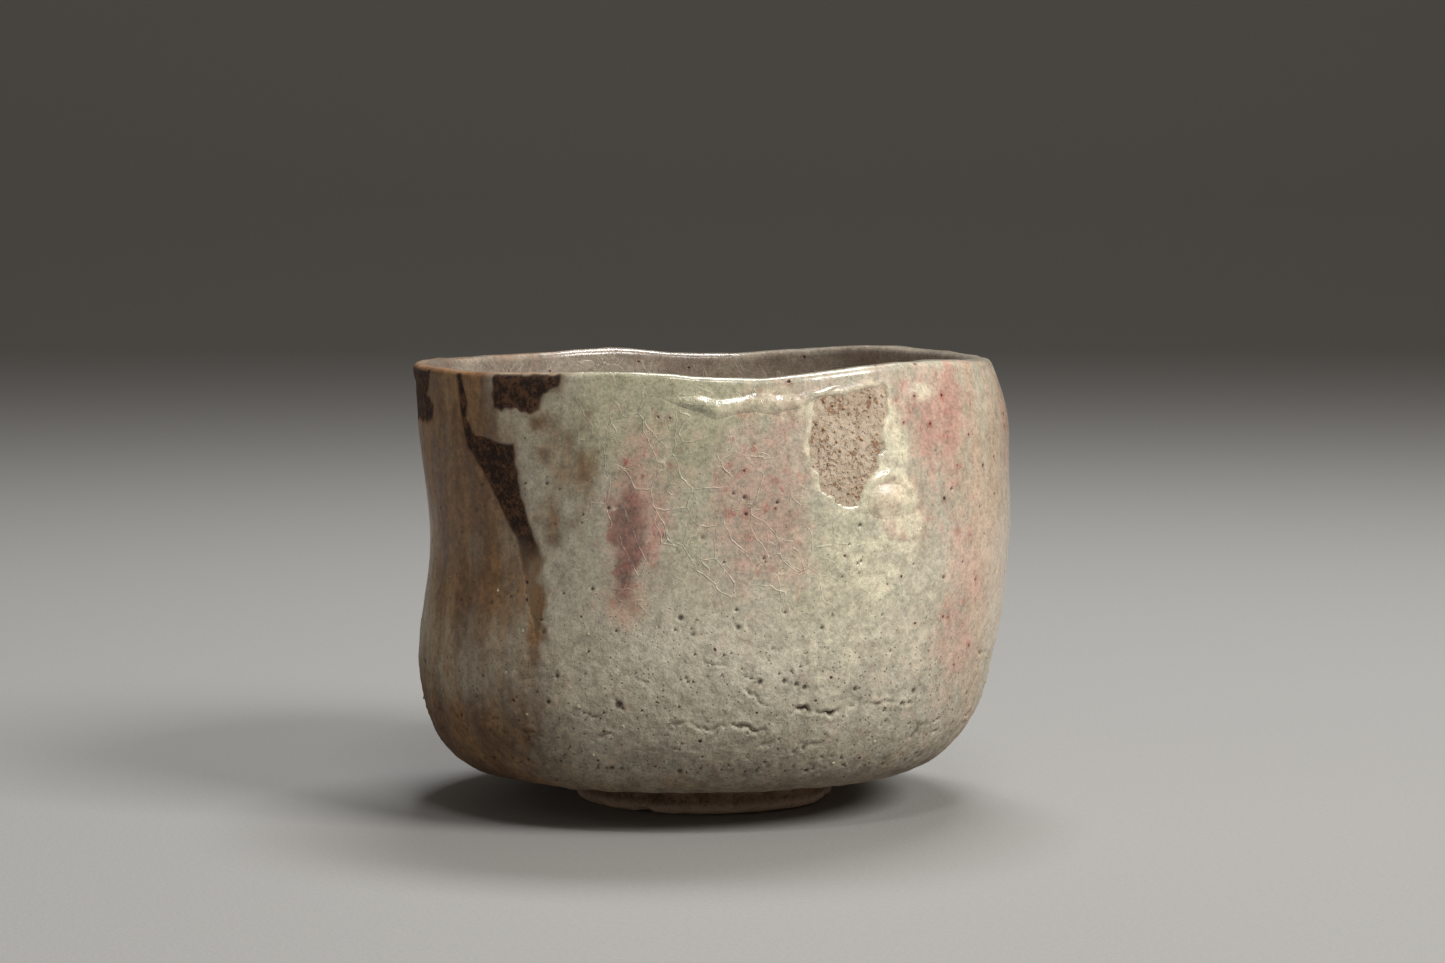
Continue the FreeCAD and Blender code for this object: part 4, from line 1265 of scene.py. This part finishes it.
def stones(name, carrier, finish, apart, small, large, sunk, seed):
    """Angular little stones half buried in the carrier's face."""
    growth = Growth(name, Apart=apart * MM, Small=small * MM, Large=large * MM, Sunk=sunk * MM, Seed=seed)
    start = growth.start.outputs
    points = growth.node(
        "GeometryNodeDistributePointsOnFaces",
        {"distribute_method": "POISSON"},
        Mesh=start["Geometry"],
        Distance_Min=start["Apart"],
        Density_Max=9e6,
        Seed=start["Seed"],
    )
    ball = growth.node("GeometryNodeMeshIcoSphere", Radius=1.0, Subdivisions=2)
    push = growth.node("ShaderNodeTexNoise", {"noise_dimensions": "3D"}, Scale=1.1, Detail=1.0)
    centre = growth.node(
        "ShaderNodeVectorMath", {"operation": "SUBTRACT"}, _0=push.outputs["Color"], _1=(0.5, 0.5, 0.5)
    )
    swell = growth.node("ShaderNodeVectorMath", {"operation": "SCALE"}, _0=centre.outputs[0], Scale=1.3)
    lumpy = growth.node("GeometryNodeSetPosition", Geometry=ball.outputs["Mesh"], Offset=swell.outputs[0])
    size = growth.node(
        "FunctionNodeRandomValue",
        {"data_type": "FLOAT"},
        _2=start["Small"],
        _3=start["Large"],
        Seed=start["Seed"],
    )
    spin = growth.node(
        "FunctionNodeRandomValue",
        {"data_type": "FLOAT_VECTOR"},
        _0=(0.0, 0.0, 0.0),
        _1=(6.28, 6.28, 6.28),
        Seed=start["Seed"],
    )
    placed = growth.node(
        "GeometryNodeInstanceOnPoints",
        Points=points.outputs["Points"],
        Instance=lumpy.outputs["Geometry"],
        Scale=size.outputs[1],
    )
    growth.tree.links.new(spin.outputs[0], placed.inputs["Rotation"])
    real = growth.node("GeometryNodeRealizeInstances", Geometry=placed.outputs[0])
    painted = growth.node("GeometryNodeSetMaterial", Geometry=real.outputs[0], Material=finish)
    growth.tree.links.new(painted.outputs[0], growth.end.inputs["Geometry"])
    return growth.grow(name, carrier)


def carrier_from(name, chosen, depth):
    """A bare sheet over chosen faces of the skin, sunk by depth, for stones to grow on."""
    grid = np.arange((LIP_START + 1) * len(turns)).reshape(LIP_START + 1, -1)
    faces = np.array(grid_faces(grid, closed=True))[chosen[:LIP_START].reshape(-1)]
    points = (skin - normal * depth)[: LIP_START + 1].reshape(-1, 3)
    names, renumbered = np.unique(faces, return_inverse=True)
    return make_piece(name, points[names], renumbered.reshape(-1, 4).tolist())


in_window = window_edge < -0.5
window_carrier = carrier_from("window_carrier", in_window, -TUCK - 0.02)
goes_with(stones("window_grit", window_carrier, grain_finish, 1.5, 0.12, 0.34, 0.1, 5))
low_wall = is_outer & (up > 13) & (up < 46) & (iron_edge > 1.5) & (row_number > 30)
low_wall &= noise(wall, 11, 98) > 0.05
stone_carrier = carrier_from("stone_carrier", low_wall, 0.12)
stone_piece = stones("feldspar_stones", stone_carrier, stone_finish, 8.5, 0.16, 0.45, 0.1, 9)
stands_for(stone_piece, "feldspar_grains")

# ------------------------------------------------------------------------------ floor, light, view


def make_floor():
    """A pale level floor that curves up far behind."""
    depths = [(-3.0, 0.0), (2.2, 0.0), (2.9, 0.12), (3.4, 0.5), (3.7, 1.1), (3.8, 2.4)]
    points = [(side * 4000.0, y * 1000, z * 1000) for y, z in depths for side in (-1, 1)]
    faces = [[2 * k, 2 * k + 1, 2 * k + 3, 2 * k + 2] for k in range(len(depths) - 1)]
    own = Finish("pale_floor")
    colour = own.mix(own.noise(1.2, 3), tint(150, 148, 144), tint(158, 156, 152))
    finish = own.finish(colour, 0.8, own.noise(0.8, 3) * 0.1)
    make_piece("floor", points, faces, material=finish)


def area_light(name, place, size, power, target=(0.0, 0.0, 0.045), colour=(1, 1, 1)):
    """A soft rectangular lamp aimed at the bowl."""
    lamp = bpy.data.lights.new(name, "AREA")
    lamp.shape = "RECTANGLE"
    lamp.size, lamp.size_y = size
    lamp.energy = power
    lamp.color = colour
    holder = bpy.data.objects.new(name, lamp)
    holder.location = place
    holder.rotation_euler = (Vector(target) - Vector(place)).to_track_quat("-Z", "Y").to_euler()
    bpy.context.scene.collection.objects.link(holder)


make_floor()
area_light("key", (1.02, -0.70, 0.98), (0.6, 0.6), 20.5, colour=(1.0, 0.99, 0.975))
area_light("over", (0.12, 0.36, 0.95), (0.45, 0.22), 7.0, colour=(0.95, 0.97, 1.0))
area_light("front_top", (0.10, -0.62, 0.98), (0.26, 0.10), 2.2, colour=(0.97, 0.98, 1.0))
area_light("left", (-1.0, -0.5, 0.4), (0.5, 0.8), 0.7, colour=(1.0, 0.97, 0.94))
world = bpy.data.worlds.new("room")
bpy.context.scene.world = world
world.use_nodes = True
world.node_tree.nodes["Background"].inputs["Color"].default_value = (0.64, 0.59, 0.53, 1)
world.node_tree.nodes["Background"].inputs["Strength"].default_value = 0.20
bpy.context.scene.view_settings.view_transform = "Standard"

LOOKS_DOWN = 4.454
camera = bpy.data.objects.new("camera", bpy.data.cameras.new("camera"))
camera.data.lens = 85
camera.data.sensor_width = 36
camera.location = (0.0036, -0.656, 0.112)
camera.rotation_euler = (math.radians(90 - LOOKS_DOWN), 0, 0)
bpy.context.scene.collection.objects.link(camera)
bpy.context.scene.camera = camera
